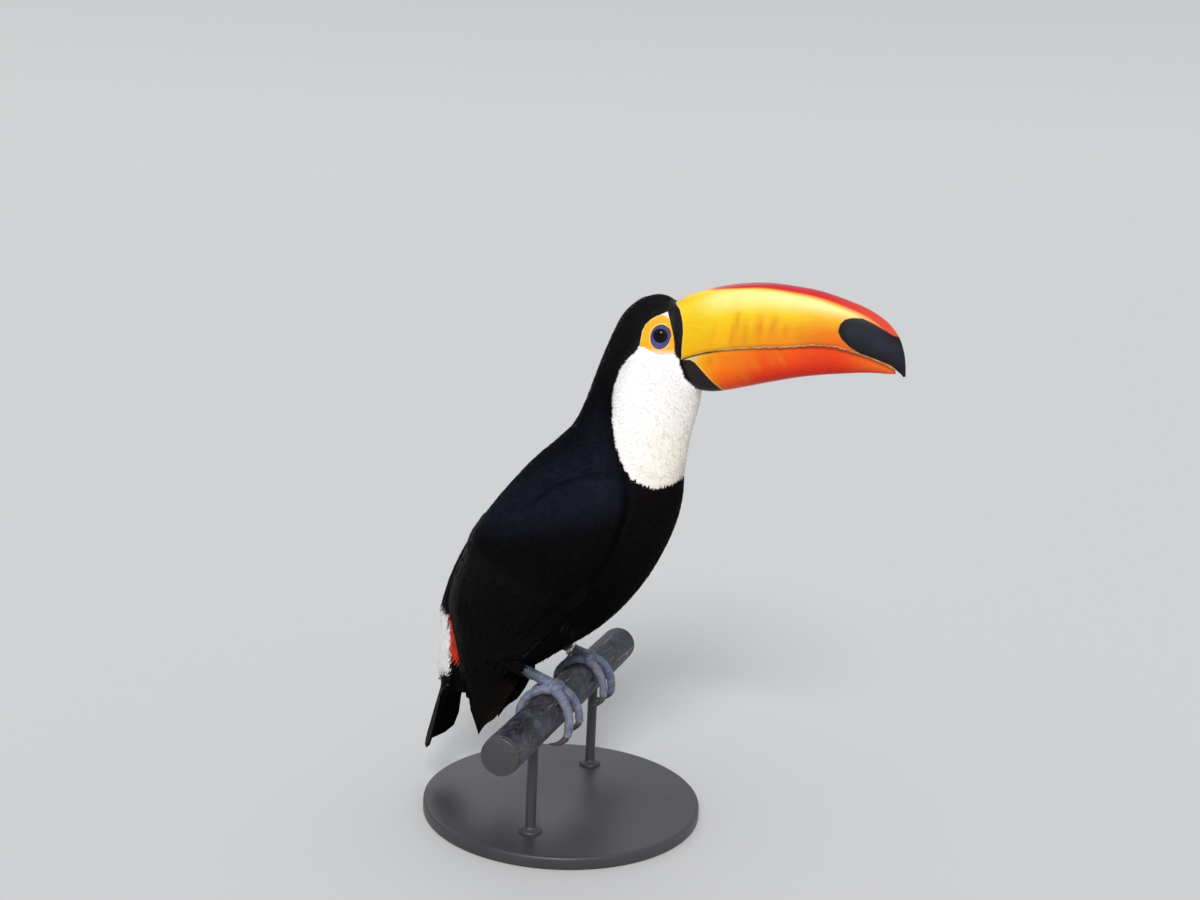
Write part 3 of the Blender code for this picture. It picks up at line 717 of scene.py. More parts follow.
def bill_finish():
    """Horny sheath: the colours kept at each point, black marks by their signed distance, and a chipped
    edge."""
    made = surface("bill_horn", Specular_IOR_Level=0.18)
    grain = made.noise(240, 5, (0.25, 1, 1))
    blotch = made.noise(70, 4)
    tone = made.plus(made.times(grain, 0.45), made.times(blotch, 0.55))
    colour = made.toned(made.ranged(tone, 0.35, 0.65, 0.94, 1.05))
    streaks = made.ranged(made.noise(300, 4, (1, 1, 0.16)), 0.38, 0.62, 0.55, 1)
    colour = made.mixed(made.times(made.field("smudge"), streaks), colour, (0.66, 0.19, 0.008))
    ragged = made.times(made.plus(made.noise(900, 4), -0.5), 0.9)
    edge = made.plus(made.field("edge"), ragged)
    chips = made.ranged(made.noise(220, 2), 0.42, 0.6, 0.45, 1)
    colour = made.mixed(made.times(made.ranged(edge, 0.3, 0.95, 1, 0), chips), colour, (0.92, 0.68, 0.36))
    gape = made.times(made.ranged(edge, 0, 0.8, 1, 0), made.field("gape"))
    colour = made.mixed(gape, colour, (0.045, 0.022, 0.014))
    mark = made.plus(made.field("mark"), made.times(ragged, 0.45))
    rim = made.times(made.ranged(mark, 0.5, 1.3, 1, 0), made.field("rim"))
    colour = made.mixed(rim, colour, (0.90, 0.66, 0.13))
    inner = made.ranged(made.field("mark"), -7, -1.5, 1, 0)
    slate = made.times(inner, made.ranged(blotch, 0.35, 0.65, 0.5, 1))
    horn = made.mixed(made.field("brownish"), (0.0075, 0.0065, 0.0085), (0.017, 0.011, 0.012))
    horn = made.mixed(made.times(slate, made.field("slate")), horn, (0.016, 0.018, 0.032))
    dark = made.ranged(mark, -0.3, 0.3, 1, 0)
    made.give("Base Color", made.mixed(dark, colour, horn))
    made.give("Roughness", made.ranged(made.plus(grain, dark), 0.3, 1.7, 0.28, 0.46))
    made.bump(made.plus(grain, made.noise(1500, 3, (0.5, 1, 1))), 0.2, 0.18)
    return made.owner


def leg_finish():
    """Scaly skin: lavender-grey plates with dirty patches, darker in the grooves between them, brownish
    underneath, and a painted shadow darkening the tarsus towards the heel, under the thigh feathers.
    """
    made = surface("leg_scales", Specular_IOR_Level=0.45)
    patch = made.ranged(made.noise(160, 4), 0.32, 0.68)
    colour = made.mixed(patch, (0.058, 0.088, 0.172), (0.178, 0.203, 0.288))
    dirt = made.ranged(made.noise(420, 5), 0.46, 0.68, 0, 0.65)
    colour = made.mixed(dirt, colour, (0.17, 0.125, 0.125))
    # The last mark is a painted shadow up the tarsus, under the thigh feathers
    colour = made.marked(colour, ("under", 0.6, (0.24, 0.175, 0.15)), ("groove", 0.55, (0.060, 0.062, 0.090)),
                         ("shank", 0.88, (0.018, 0.030, 0.040)))
    made.give("Base Color", colour)
    made.give("Roughness", made.ranged(patch, 0, 1, 0.42, 0.62))
    cells = made.cells(1100, "DISTANCE_TO_EDGE")
    made.bump(made.plus(made.times(cells, 1.6), made.noise(1400, 4)), 0.45, 0.3)
    return made.owner


def claw_finish():
    made = surface("claw_horn", Roughness=0.35, Specular_IOR_Level=0.5)
    grain = made.ranged(made.noise(500, 4, (1, 1, 0.4)), 0.3, 0.7)
    made.give("Base Color", made.mixed(grain, (0.020, 0.017, 0.018), (0.10, 0.085, 0.08)))
    made.bump(made.noise(1200), 0.3, 0.12)
    return made.owner


def ring_finish():
    made = surface("ring_metal", Metallic=1)
    scuff = made.noise(900, 4, (1, 0.2, 1))
    worn = made.ranged(scuff, 0.4, 0.65)
    made.give("Base Color", made.mixed(worn, (0.80, 0.76, 0.66), (0.55, 0.50, 0.42)))
    made.give("Roughness", made.ranged(scuff, 0.3, 0.7, 0.24, 0.5))
    made.bump(scuff, 0.2, 0.1)
    return made.owner


def rail_finish():
    """Weathered steel tube: blue-grey, with brown stains, pale scratches along it and bird-worn dull
    patches."""
    made = surface("weathered_tube", Specular_IOR_Level=0.4)
    cloud = made.ranged(made.noise(70, 8, (1, 0.6, 1), 0.8), 0.42, 0.60)
    stain = made.ranged(made.noise(90, 6, (1, 0.5, 1), 0.7), 0.53, 0.66, 0, 0.7)
    grit = made.ranged(made.noise(700, 5, roughness=0.7), 0.56, 0.7, 0, 0.55)
    scratch = made.ranged(made.noise(300, 4, (1, 0.06, 1)), 0.64, 0.72, 0, 0.6)
    colour = made.mixed(cloud, (0.014, 0.013, 0.016), (0.082, 0.088, 0.122))
    colour = made.mixed(stain, colour, (0.060, 0.042, 0.034))
    colour = made.mixed(grit, colour, (0.25, 0.26, 0.30))
    made.give("Base Color", made.mixed(scratch, colour, (0.34, 0.35, 0.38)))
    made.give("Roughness", made.ranged(made.calculated("SUBTRACT", cloud, scratch), -0.5, 1, 0.38, 0.66))
    made.give("Metallic", made.ranged(stain, 0, 0.6, 0.35, 0.1))
    made.bump(made.plus(made.noise(500, 6), made.times(scratch, -0.6)), 0.6, 0.5)
    return made.owner


def paint_finish():
    made = surface("stand_paint", Specular_IOR_Level=0.5)
    speck = made.noise(1800)
    cloud = made.ranged(made.noise(14, 4), 0.35, 0.65)
    made.give("Base Color", made.mixed(cloud, (0.028, 0.028, 0.031), (0.042, 0.042, 0.046)))
    made.give("Roughness", made.ranged(speck, 0.3, 0.7, 0.36, 0.5))
    made.bump(speck, 0.3, 0.12)
    return made.owner


COAT_BLACK = coat_finish("coat_black", roughness=0.6, specular=0.035, spread=0.14, sheen=0.012,
                         sheen_tint=(0.45, 0.55, 0.9))
COAT_PALE = coat_finish("coat_pale", roughness=0.85, specular=0.08, spread=0.015, sheen=0.12)
VANE_BLACK = vane_finish()
VANE_BASE = coat_finish("vane_ground", roughness=0.6, specular=0.03, spread=0.1)
BILL_HORN = bill_finish()
LEG_SCALES = leg_finish()
CLAW_HORN = claw_finish()
STAND_PAINT = paint_finish()


# Skin

SKINNED = ("head", "neck", "trunk", "thigh_left", "thigh_right")
BESIDE_SKIN = ("wing_left", "wing_right", "eye_left", "eye_right", "bill_upper", "bill_lower")
TRIMS = (("wing", (-45, 0, 14), (-0.44, 0, -0.9)), ("bill", (104, 0, 270), (1, 0, 0)))
outer, outer_faces = fused(SKINNED + BESIDE_SKIN, growth=0.35, voxel=1.7, rounds=7, trims=TRIMS)
outer_normals = normals_of(outer, outer_faces)
BILL_TREE = tree_of_nodes("bill_upper", "bill_lower")
WING_TREES = {1: tree_of_nodes("wing_left"), -1: tree_of_nodes("wing_right")}


def coat_depth(points):
    """How deep the feathers are over the skin: thin on the face, and short and flat over the bib and the
    rump."""
    bib = smooth_step(3, -5, outside(points, BIB))
    rump = smooth_step(3, -4, outside(points, RUMP))
    return graded(along_spine(points)[0], COAT_DEPTHS) * (1 - np.maximum(0.62 * bib, 0.45 * rump))


def make_skin():
    """Makes the skin, drawn in from the bird's outline by the coat's depth, and gives back its points."""
    flank = np.abs(outer[:, 1]) > 10
    bare = smooth_step(-0.2, -1.4, outside(outer, FACE)) * flank
    gloss = smooth_step(0.8, -0.6, outside(outer, BASE_RIM))
    naked = np.maximum(smooth_step(1.0, -0.6, outside(outer, FACE)) * flank, gloss)
    (x, z), (wide, tall) = LID_OUTER
    from_eye = np.hypot((outer[:, 0] - x) / wide, (outer[:, 2] - z) / tall)
    socket = smooth_step(0.98, 0.78, from_eye) * flank
    covered = smooth_step(0, -2, outside(outer, UNDER_BILL))
    depth = coat_depth(outer) * (1 - naked) + 0.15 * naked
    depth = depth + 3.4 * socket + 2.6 * covered + 2.8 * creased(outer)
    points = outer - outer_normals * depth[:, None]
    tint = plumage(outer, np.zeros(len(points)))
    flat = unwrap(points)[outer_faces]
    turn = flat[:, :, 0]
    crossing = turn.max(1) - turn.min(1) > 0.5
    turn[crossing] = np.where(turn[crossing] < 0.5, 0.985, turn[crossing])
    add_piece("skin", points, outer_faces, skin_finish(), "plumage_black", SKINNED, tint,
              {"bare": bare, "gloss": gloss}, {"OFBake": flat})
    return points


skin = make_skin()
skin_normals = evened(normals_of(skin, outer_faces), outer_faces, rounds=12)
SKIN_TREE = tree_of(skin, outer_faces)


# Body feathers: tufts of fine closed locks, each tuft fanned from one root


def scattered(points, faces, spacing_at, over=3.2):
    """Random roots on the surface, no two nearer than the spacing where they are."""
    corners = points[faces]
    area = np.linalg.norm(np.cross(corners[:, 1] - corners[:, 0], corners[:, 2] - corners[:, 0]), axis=1) / 2
    middle = corners.mean(1)
    weight = area / spacing_at(middle) ** 2
    count = int(weight.sum() * over)
    chosen = RNG.choice(len(faces), count, p=weight / weight.sum())
    a, b = RNG.random((2, count, 1))
    flip = a + b > 1
    a, b = np.where(flip, 1 - a, a), np.where(flip, 1 - b, b)
    corner = corners[chosen]
    roots = corner[:, 0] + (corner[:, 1] - corner[:, 0]) * a + (corner[:, 2] - corner[:, 0]) * b
    reach = spacing_at(roots)
    tree = KDTree(count)
    for i, root in enumerate(roots.tolist()):
        tree.insert(root, i)
    tree.balance()
    free = np.ones(count, bool)
    kept = []
    for i, (root, span) in enumerate(zip(roots.tolist(), reach.tolist())):
        if free[i]:
            kept.append(i)
            for _, j, _ in tree.find_range(root, span):
                free[j] = False
    return roots[kept], chosen[kept]


def snapped(points):
    """The nearest places on the skin, and its evened normals there."""
    places, nearest = np.empty_like(points), np.empty(len(points), int)
    for i, point in enumerate(points.tolist()):
        places[i], _, nearest[i], _ = SKIN_TREE.find_nearest(point)
    return places, unit(skin_normals[outer_faces[nearest]].mean(1))


def lie_of_coat(roots, normals):
    """Which way the feathers point: away from the bill and down the body, flat on the skin."""
    place, _ = along_spine(roots)
    way = spine_way(place)
    down = np.column_stack([way[:, 0], np.zeros(len(roots)), way[:, 1]])
    bill_middle = np.array([100.0, 0.0, 277.0])
    away = unit(roots - bill_middle)
    near = np.exp(-np.linalg.norm(roots - bill_middle, axis=1) / 30)[:, None] * 2.2
    ways = down + away * near
    ways -= normals * (ways * normals).sum(1, keepdims=True)
    return unit(ways)


# A lock has seven points: three at its root and three at its middle, each left, right and on top, and its tip
LOCKS = 5
LOCK_FACES = np.array([(0, 1, 4), (0, 4, 3), (1, 2, 5), (1, 5, 4), (2, 0, 3), (2, 3, 5), (3, 4, 6), (4, 5, 6),
                       (5, 3, 6), (0, 2, 1)])
LOCK_PATCH = np.array([(0, 0), (2, 0), (1, 0), (0, 1), (2, 1), (1, 1), (1, 2)]) * 0.0015 - 0.0015
# Painted shade along a lock: the root darkened to the tuft's softness, the middle a little, the tip a little
# lightened
LOCK_SHADE = (0.98, 0.98, 1.0, 1.02)  # of the middle and the tip
MOST_TUFTS = 3900  # in one piece


def tufts(name, roots, normals, sizes, finish, slot, softness):
    """A coat piece: at each root a fan of closed locks that lie along the body. softness evens out their rise
    and their shading, and lightens the painted shade at their roots."""
    count = len(roots)
    lengths, widths, depths, fans = sizes
    ways = lie_of_coat(roots, normals)
    ways = unit(ways + np.cross(normals, ways) * RNG.normal(0, 0.06, (count, 1)))
    tips, tip_normals = snapped(roots + ways * lengths[:, None])
    sides = unit(np.cross(normals, ways))
    offset = np.linspace(-1, 1, LOCKS)[None] + RNG.normal(0, 0.12, (count, LOCKS))
    reach = 1 - 0.22 * offset**2 + RNG.normal(0, 0.05, (count, LOCKS))
    rise = (1 - (0.02 + 0.45 * (1 - softness)) * RNG.random((count, LOCKS))) * depths[:, None]

    def spots(t, aside, height):
        base = roots[:, None] + (tips - roots)[:, None] * t[..., None]
        normal = unit(normals[:, None] + (tip_normals - normals)[:, None] * t[..., None])
        across = sides[:, None] * (aside * (lengths * fans)[:, None])[..., None]
        return base + across + normal * height[..., None], normal

    low, low_normal = spots(np.zeros((count, LOCKS)), offset * 0.35, np.full((count, LOCKS), -0.35))
    middle, middle_normal = spots(reach * 0.5, offset * 0.75, rise * 0.75)
    tip, _ = spots(reach, offset, rise)
    half = (sides * widths[:, None] / 2)[:, None]
    thick = (widths * (0.25 - 0.15 * smooth_step(0.7, 1, softness)))[:, None, None]
    lock = [low - half * 0.6, low + half * 0.6, low + low_normal * thick * 0.7,
            middle - half, middle + half, middle + middle_normal * thick, tip]
    points = np.stack(lock, axis=2).reshape(-1, 3)
    smooth = np.stack([low_normal] * 3 + [middle_normal] * 4, axis=2).reshape(-1, 3)
    faces = (LOCK_FACES[None] + np.arange(count * LOCKS)[:, None, None] * len(lock)).reshape(-1, 3)
    seen = low + (tip - low) * 0.8
    tone = plumage(seen.reshape(-1, 3), RNG.normal(0, 0.25, count * LOCKS)).reshape(count, LOCKS, 1, 3)
    tone = tone * RNG.uniform(0.96, 1.03, (count, 1, 1, 1))
    # Painted shade: roots darker where the coat is less soft, tips a little lighter
    shade = np.array([softness] * 3 + [*LOCK_SHADE])[None, None, :, None]
    tint = np.clip(tone * shade, 0, 1).reshape(-1, 3)
    flat = unwrap(roots)[:, None, None] + LOCK_PATCH[None, None]
    flat = np.broadcast_to(flat, (count, LOCKS, len(lock), 2)).reshape(-1, 2)
    facing = unit((1 - softness) * normals_of(points, faces) + softness * smooth)
    add_piece(name, points, faces, finish, slot, (), tint, None, {"OFBake": flat[faces]}, facing)


def tuft_spacing(points):
    """Distance between roots: closer on the face, and along the bib's edge."""
    place, _ = along_spine(points)
    near_edge = np.exp(-((outside(points, BIB) / 5) ** 2))
    return graded(place, TUFT_SPACINGS) * (1 - 0.4 * near_edge * smooth_step(3, 6, place))


def coat_roots():
    """Where tufts grow, the skin's normals there, and the distances from the bill and the bare face."""
    roots, chosen = scattered(skin, outer_faces, tuft_spacing)
    normals = unit(skin_normals[outer_faces[chosen]].mean(1))
    spot = roots + normals * coat_depth(roots)[:, None]
    near_bill = distance_to(BILL_TREE, spot)
    from_face = np.where(np.abs(roots[:, 1]) > 10, outside(roots, FACE), 30)
    on_wing = np.zeros(len(roots), bool)
    for tree in WING_TREES.values():
        on_wing |= distance_to(tree, spot, 8.0) < 1.0
    down_wing = along(np.array(WING, float).mean(1), roots)[0] / (len(WING) - 1)
    on_wing &= (np.abs(normals[:, 1]) > 0.35) & (down_wing > SHOULDER_END + RNG.normal(0, 0.025, len(roots)))
    keep = (near_bill > 0.3) & (from_face > 0) & (outside(roots, BASE_RIM) > 0) & ~on_wing
    return roots[keep], normals[keep], near_bill[keep], from_face[keep]


def coat_sizes(roots, normals, ways, near_bill, from_face):
    """Length, width of a lock, rise and fan of each tuft. Tufts are shorter near the bill, the bare face,
    the bib's edge and the ringed leg and on the rump, and broader over the bib."""
    place, _ = along_spine(roots)
    short = np.clip(0.35 + near_bill / 14, 0.35, 1) * np.clip(0.45 + from_face / 22, 0.45, 1)
    lengths = graded(place, TUFT_LENGTHS) * short * RNG.uniform(0.88, 1.12, len(roots))
    ends = roots + ways * lengths[:, None]
    over_face = (np.abs(roots[:, 1]) > 10) & (outside(ends, FACE) < 0.6)
    lengths = np.where(over_face, np.clip(from_face * 0.8, 0.9, lengths), lengths)
    bib_edge = np.clip(0.15 + np.abs(outside(ends, BIB)) / 13, 0, 1)
    from_foot = np.linalg.norm(ends - FAR_TARSUS, axis=1)
    rump = smooth_step(4, -1, outside(roots, RUMP))
    lengths = lengths * bib_edge * np.clip(from_foot / 22, 0.3, 1) * (1 - 0.45 * rump)
    bib = smooth_step(-2, -7, outside(roots, BIB))
    widths = graded(place, TUFT_WIDTHS) * (0.5 + 0.5 * bib_edge) * (1 - 0.15 * rump) * (1 + 0.6 * bib)
    depths = coat_depth(roots) * np.clip(0.4 + near_bill / 8, 0.4, 1) * np.clip(0.4 + from_face / 6, 0.4, 1)
    nape = smooth_step(1, 3, place) * smooth_step(10, 7.5, place) * smooth_step(-0.1, -0.6, normals[:, 0])
    return np.array([lengths, widths, depths + NAPE_RISE * nape, graded(place, TUFT_FANS)])


def feather_body():
    roots, normals, near_bill, from_face = coat_roots()
    ways = lie_of_coat(roots, normals)
    sizes = coat_sizes(roots, normals, ways, near_bill, from_face)
    place, _ = along_spine(roots)
    colours = plumage(roots + ways * sizes[0][:, None] * 0.6, np.zeros(len(roots)))
    pale = colours[:, 1] > 0.4
    red = (colours[:, 0] > 0.3) & ~pale
    back = (place > 7.3) & ~pale & ~red
    groups = (
        ("coat_bib", pale & (place < 11), 1),
        ("coat_rump", pale & (place >= 11), 0.95),
        ("coat_vent", red, 0.85),
        ("coat_head", ~pale & ~red & (place <= 7.3), 0.7),
        ("coat_right", back & (roots[:, 1] < 0), 0.7),
        ("coat_left", back & (roots[:, 1] >= 0), 0.7),
    )
    for name, members, softness in groups:
        slot = "plumage_white" if name in ("coat_bib", "coat_rump", "coat_vent") else "plumage_black"
        finish = COAT_PALE if slot == "plumage_white" else COAT_BLACK
        chosen = np.flatnonzero(members)
        for number, start in enumerate(range(0, len(chosen), MOST_TUFTS), 1):
            part = chosen[start : start + MOST_TUFTS]
            label = name if len(chosen) <= MOST_TUFTS else f"{name}_{number}"
            tufts(label, roots[part], normals[part], sizes[:, part], finish, slot, softness)


feather_body()


# Large feathers: closed thin vanes laid over a height field


class Relief:
    """Height of the bird's outside over a flat grid, smoothed. Empty cells take their neighbours' height."""

    def __init__(self, low, high, cell, reading):
        self.low, self.cell = np.array(low, float), cell
        counts = [int((h - l) / cell) + 1 for l, h in zip(low, high)]
        values = np.full(counts, np.nan)
        for i in range(counts[0]):
            for j in range(counts[1]):
                values[i, j] = reading(low[0] + i * cell, low[1] + j * cell)
        self.values = values
        while np.isnan(self.values).any():
            self.spread(np.isnan(self.values))
        for _ in range(3):
            self.spread(np.ones(counts, bool))

    def spread(self, cells):
        padded = np.pad(self.values, 1, constant_values=np.nan)
        around = [padded[1 + i : 1 + i + self.values.shape[0], 1 + j : 1 + j + self.values.shape[1]]
                  for i in (-1, 0, 1) for j in (-1, 0, 1)]
        known = ~np.isnan(around)
        count = known.sum(0)
        total = np.where(known, around, 0).sum(0)
        self.values = np.where(cells & (count > 0), total / np.maximum(count, 1), self.values)

    def __call__(self, a, b):
        i = np.clip((a - self.low[0]) / self.cell, 0, self.values.shape[0] - 1.001)
        j = np.clip((b - self.low[1]) / self.cell, 0, self.values.shape[1] - 1.001)
        m, n = i.astype(int), j.astype(int)
        s, t = i - m, j - n
        v = self.values
        return (v[m, n] * (1 - s) * (1 - t) + v[m + 1, n] * s * (1 - t) + v[m, n + 1] * (1 - s) * t
                + v[m + 1, n + 1] * s * t)


def ray_reading(trees, start, way, height_of):
    """A function of two numbers: how high the surfaces stand where a ray from start(a, b) meets them."""

    def reading(a, b):
        hits = [tree.ray_cast(Vector(start(a, b)), Vector(way))[0] for tree in trees]
        heights = [height_of(hit) for hit in hits if hit is not None]
        return max(heights) if heights else np.nan

    return reading


OUTER_TREE = tree_of(outer, outer_faces)
RELIEF_CELL = 2.5
from_left = ray_reading((OUTER_TREE, WING_TREES[1]), lambda x, z: (x, 120, z), (0, -1, 0), lambda hit: hit.y)
from_behind = ray_reading((OUTER_TREE, tree_of_nodes("tail")), lambda y, z: (-200, y, z), (1, 0, 0),
                          lambda hit: -hit.x)
FLANK = Relief((-102, -66), (68, 192), RELIEF_CELL, from_left)
STERN = Relief((-34, -84), (34, 48), RELIEF_CELL, from_behind)
VANE_COLUMNS = 7


def vane_faces(rows):
    """Triangles of one closed vane: its top, its underside and its rim."""
    each = rows * VANE_COLUMNS
    quads = grid_faces(rows, VANE_COLUMNS)
    rim = np.concatenate([np.arange(VANE_COLUMNS), np.arange(2, rows + 1) * VANE_COLUMNS - 1,
                          np.arange(VANE_COLUMNS - 2, -1, -1) + (rows - 1) * VANE_COLUMNS,
                          np.arange(rows - 2, 0, -1) * VANE_COLUMNS])
    following = np.roll(rim, -1)
    border = np.column_stack([following, rim, rim + each, following + each])
    return np.vstack([halves(quads), halves(quads[:, ::-1] + each), halves(border)])


def vanes(name, feathers, place, thick, tip_power=2.4):
    """A coat piece of large feathers, each a closed thin vane round its shaft.

    A feather is (shaft, half width, root height, tip height, shade, brown, brown of its edge), its shaft
    a line of points on the flat grid of place(a, b, height). tip_power sets how blunt the tips are.
    """
    lines = np.array([feather[0] for feather in feathers], float)
    count, rows = lines.shape[:2]
    looks = np.array([feather[1:] for feather in feathers], float)
    half, low, high, shade, brown, edge_brown = looks.T[:, :, None, None]
    t = np.linspace(0, 1, rows)[None, :, None]
    u = np.linspace(-1, 1, VANE_COLUMNS)[None, None, :]
    run = unit(np.gradient(lines, axis=1))
    side = np.stack([-run[..., 1], run[..., 0]], -1)
    steps = np.linalg.norm(np.diff(lines, axis=1), axis=2)
    size = np.append(np.zeros((count, 1)), np.cumsum(steps, axis=1), axis=1)
    close = np.clip((t - 0.52) / 0.48, 0, 1)
    outline = np.clip(t / 0.22, 0.25, 1) ** 0.5 * (1 - close**tip_power) ** 0.55
    outline = np.maximum(outline, 0.05) * (1 + RNG.normal(0, 0.02, (count, rows, 1)))
    lag = 0.4 * half * u**2 * np.clip(t * 1.4, 0, 1) * (1 - close * 0.4)
    flat = lines[:, :, None] - run[:, :, None] * lag[..., None]
    flat = flat + side[:, :, None] * (half * outline * u)[..., None]
    a, b = flat[..., 0], flat[..., 1]
    down = size[..., None] - lag
    shaft = 0.16 * np.exp(-((u / 0.13) ** 2)) * (1 - 0.7 * t)
    ripple = 0.03 * np.sin(down * 2.1 + 3 * u) * np.abs(u)
    height = low + (high - low) * (1 - (1 - t) ** 2.2) - 0.03 * half * u**2 + shaft + ripple
    top = place(a, b, height)
    under = place(a, b, height - thick * (1 - 0.55 * np.abs(u)))
    points = np.concatenate([top.reshape(count, -1, 3), under.reshape(count, -1, 3)], axis=1)
    each = rows * VANE_COLUMNS
    faces = (vane_faces(rows)[None] + np.arange(count)[:, None, None] * 2 * each).reshape(-1, 3)
    blend = np.clip(0.7 * np.clip((t - 0.8) / 0.2, 0, 1) + 0.8 * np.abs(u) ** 8, 0, 1)
    browning = (brown + (edge_brown - brown) * blend)[..., None]
    tint = dark_plumage(top.reshape(-1, 3)).reshape(*top.shape) * shade[..., None]
    tint = (tint + (BROWN - tint) * browning).reshape(count, -1, 3)
    # Painted shade: each vane's underside a fifth darker than its top
    tint = np.concatenate([tint, tint * 0.8], axis=1).reshape(-1, 3)
    own = np.stack(np.broadcast_arrays((u + 1) / 2, down / 60), -1).reshape(count, -1, 2)
    own = np.concatenate([own, own], axis=1).reshape(-1, 2)
    roots = unwrap(place(lines[:, 0, 0], lines[:, 0, 1], np.zeros(count)))
    patch = np.stack(np.broadcast_arrays(u / 2, t - 0.5), -1).reshape(1, each, 2) * 0.003
    baked = roots[:, None] + np.concatenate([patch, patch], axis=1)
    add_piece(name, points.reshape(-1, 3), faces, VANE_BLACK, "plumage_black", (), tint, None,
              {"OFBake": baked.reshape(-1, 2)[faces], "vane": own[faces]})


def wing_line(t0, v0, t1, v1, rows):
    """A line in side view over the folded wing: t runs from its shoulder (0) to its tip (1), v from its
    lower edge (-1) to its upper edge (1)."""
    edges = np.array(WING, float)
    place = np.clip(np.linspace(t0, t1, rows), 0, 1) * (len(edges) - 1)
    across = (1 + np.linspace(v0, v1, rows)[:, None]) / 2
    lower, upper = (np.column_stack([np.interp(place, np.arange(len(edges)), edges[:, e, k]) for k in (0, 1)])
                    for e in (0, 1))
    return lower + (upper - lower) * across


WING_LENGTH = 250
COVERT_POINTS = 12  # along a feather's shaft
FLIGHT_POINTS = 26
TAIL_POINTS = 24
COVERT_ROWS = (  # place along the wing, first and last place across, spacing, length, half width, heights
    (0.55, -0.88, 0.92, 9.4, 46, 7.4, -2.2, 0.45),
    (0.505, -0.9, 0.96, 8.6, 38, 6.8, -2.4, 0.35),
    (0.465, -0.92, 0.98, 8.0, 33, 6.3, -2.6, 0.25),
    (0.425, -0.94, 1.0, 7.6, 30, 6.0, -2.6, 0.1),
    (0.385, -0.94, 1.0, 7.6, 30, 6.0, -2.8, 0.0),
)
PRIMARIES = 10
SECONDARIES = 11
TERTIALS = 4
TAIL_PAIRS = 5

# The wing's dark ground is kept beyond both planes (point, normal): below its shoulder and above its tip
WING_CUTS = (((-40, 0, 73), (-0.45, 0, -0.89)), ((-64, 0, -24), (0.19, 0, 0.98)))


def covert_feathers():
    """Rows of coverts below the shoulder, from the lowest row up, each over the roots of the row before."""
    made = []
    for row, (t, low, high, spacing, length, half, root_height, tip_height) in enumerate(COVERT_ROWS):
        width = np.linalg.norm(np.diff(wing_line(t, low, t, high, 2), axis=0))
        across = int(width / spacing)
        for k in range(across + 1):
            v = low + (high - low) * (k + 0.5 * (row % 2) + RNG.normal(0, 0.08)) / across
            if v > high + 0.04:
                continue
            end = t + length * RNG.uniform(0.92, 1.08) / WING_LENGTH
            shaft = wing_line(t, v, end, v * 0.98, COVERT_POINTS)
            looks = (half * RNG.uniform(0.94, 1.06), root_height, tip_height * RNG.uniform(0.85, 1.15))
            made.append((shaft, *looks, RNG.uniform(0.85, 1.15), 0, 0.02))
    return made


def flight_feathers():
    """Primaries lowest, secondaries with uneven ends over them, and broad tertials on top at the back."""
    made = []
    for k in range(PRIMARIES):
        f = k / (PRIMARIES - 1)
        end = 1.0 - 0.075 * abs(2 * f - 0.9) ** 1.1
        shaft = wing_line(0.5, -0.86 + 1.3 * f, end, -0.95 + 1.85 * f, FLIGHT_POINTS)
        brown = 0.22 * (1 - f) ** 3
        made.append((shaft, 6.2, -2.0, 0.06 * k, RNG.uniform(0.8, 1.1), brown * 0.15, 0.02 + brown))
    for k in range(SECONDARIES):
        f = k / (SECONDARIES - 1)
        end = 0.71 + 0.11 * f + RNG.uniform(-0.04, 0.04)
        shaft = wing_line(0.5 - 0.02 * f, -0.84 + 1.7 * f, end, -0.76 + 1.62 * f, FLIGHT_POINTS)
        edge_brown = 0.5 if k == 0 else 0.03
        made.append((shaft, 7.4, -2.4, 0.42 + 0.045 * k, RNG.uniform(0.85, 1.05), 0, edge_brown))
    for k in range(TERTIALS):
        f = k / (TERTIALS - 1)
        shaft = wing_line(0.47 - 0.02 * f, 0.34 + 0.5 * f, 0.79 - 0.08 * f, 0.5 + 0.42 * f, FLIGHT_POINTS)
        made.append((shaft, 8.5, -2.6, 0.80 + 0.07 * k, RNG.uniform(0.9, 1.1), 0, 0.03))
    return made


def tail_feathers():
    """Pairs of blunt feathers, the middle pair on top."""
    made = []
    for rank in range(TAIL_PAIRS, 0, -1):
        for sign in (-1, 1):
            aside = sign * (rank - 0.5)
            tip = (aside * 4.4, -74.5 + 0.013 * (aside * 4.4) ** 2)
            shaft = np.linspace((aside * 2.4, 20), tip, TAIL_POINTS)
            made.append((shaft, 6.4, -1.2, 0.75 - 0.3 * rank, RNG.uniform(0.8, 1.2), 0, 0.04))
    return made


def solid_copy(name, node, cuts=()):
    """The dark ground under large feathers: the part's own solid, drawn in and kept beyond each cut
    (point, normal)."""
    bm = solid_of(node)
    for point, normal in cuts:
        cut_off(bm, point, normal, before=True)
    bmesh.ops.triangulate(bm, faces=bm.faces)
    bm.verts.index_update()
    points = np.array([tuple(vert.co) for vert in bm.verts]) * 1000 - UP * PERCH_TOP
    faces = np.array([[vert.index for vert in face.verts] for face in bm.faces])
    bm.free()
    points = points - normals_of(points, faces) * GROUND_DEPTH
    add_piece(name, points, faces, VANE_BASE, "plumage_black", (node,), dark_plumage(points), None,
              {"OFBake": unwrap(points)[faces]})


def make_wings():
    coverts, flight = covert_feathers(), flight_feathers()
    for side, end in ((1, "left"), (-1, "right")):
        def place(a, b, height, side=side):
            return np.stack([a, side * (FLANK(a, b) + height), b], -1)

        solid_copy("wing_ground_" + end, "wing_" + end, WING_CUTS)
        vanes("wing_flight_" + end, flight, place, thick=0.45, tip_power=3.0)
        vanes("wing_coverts_" + end, coverts, place, thick=0.3)


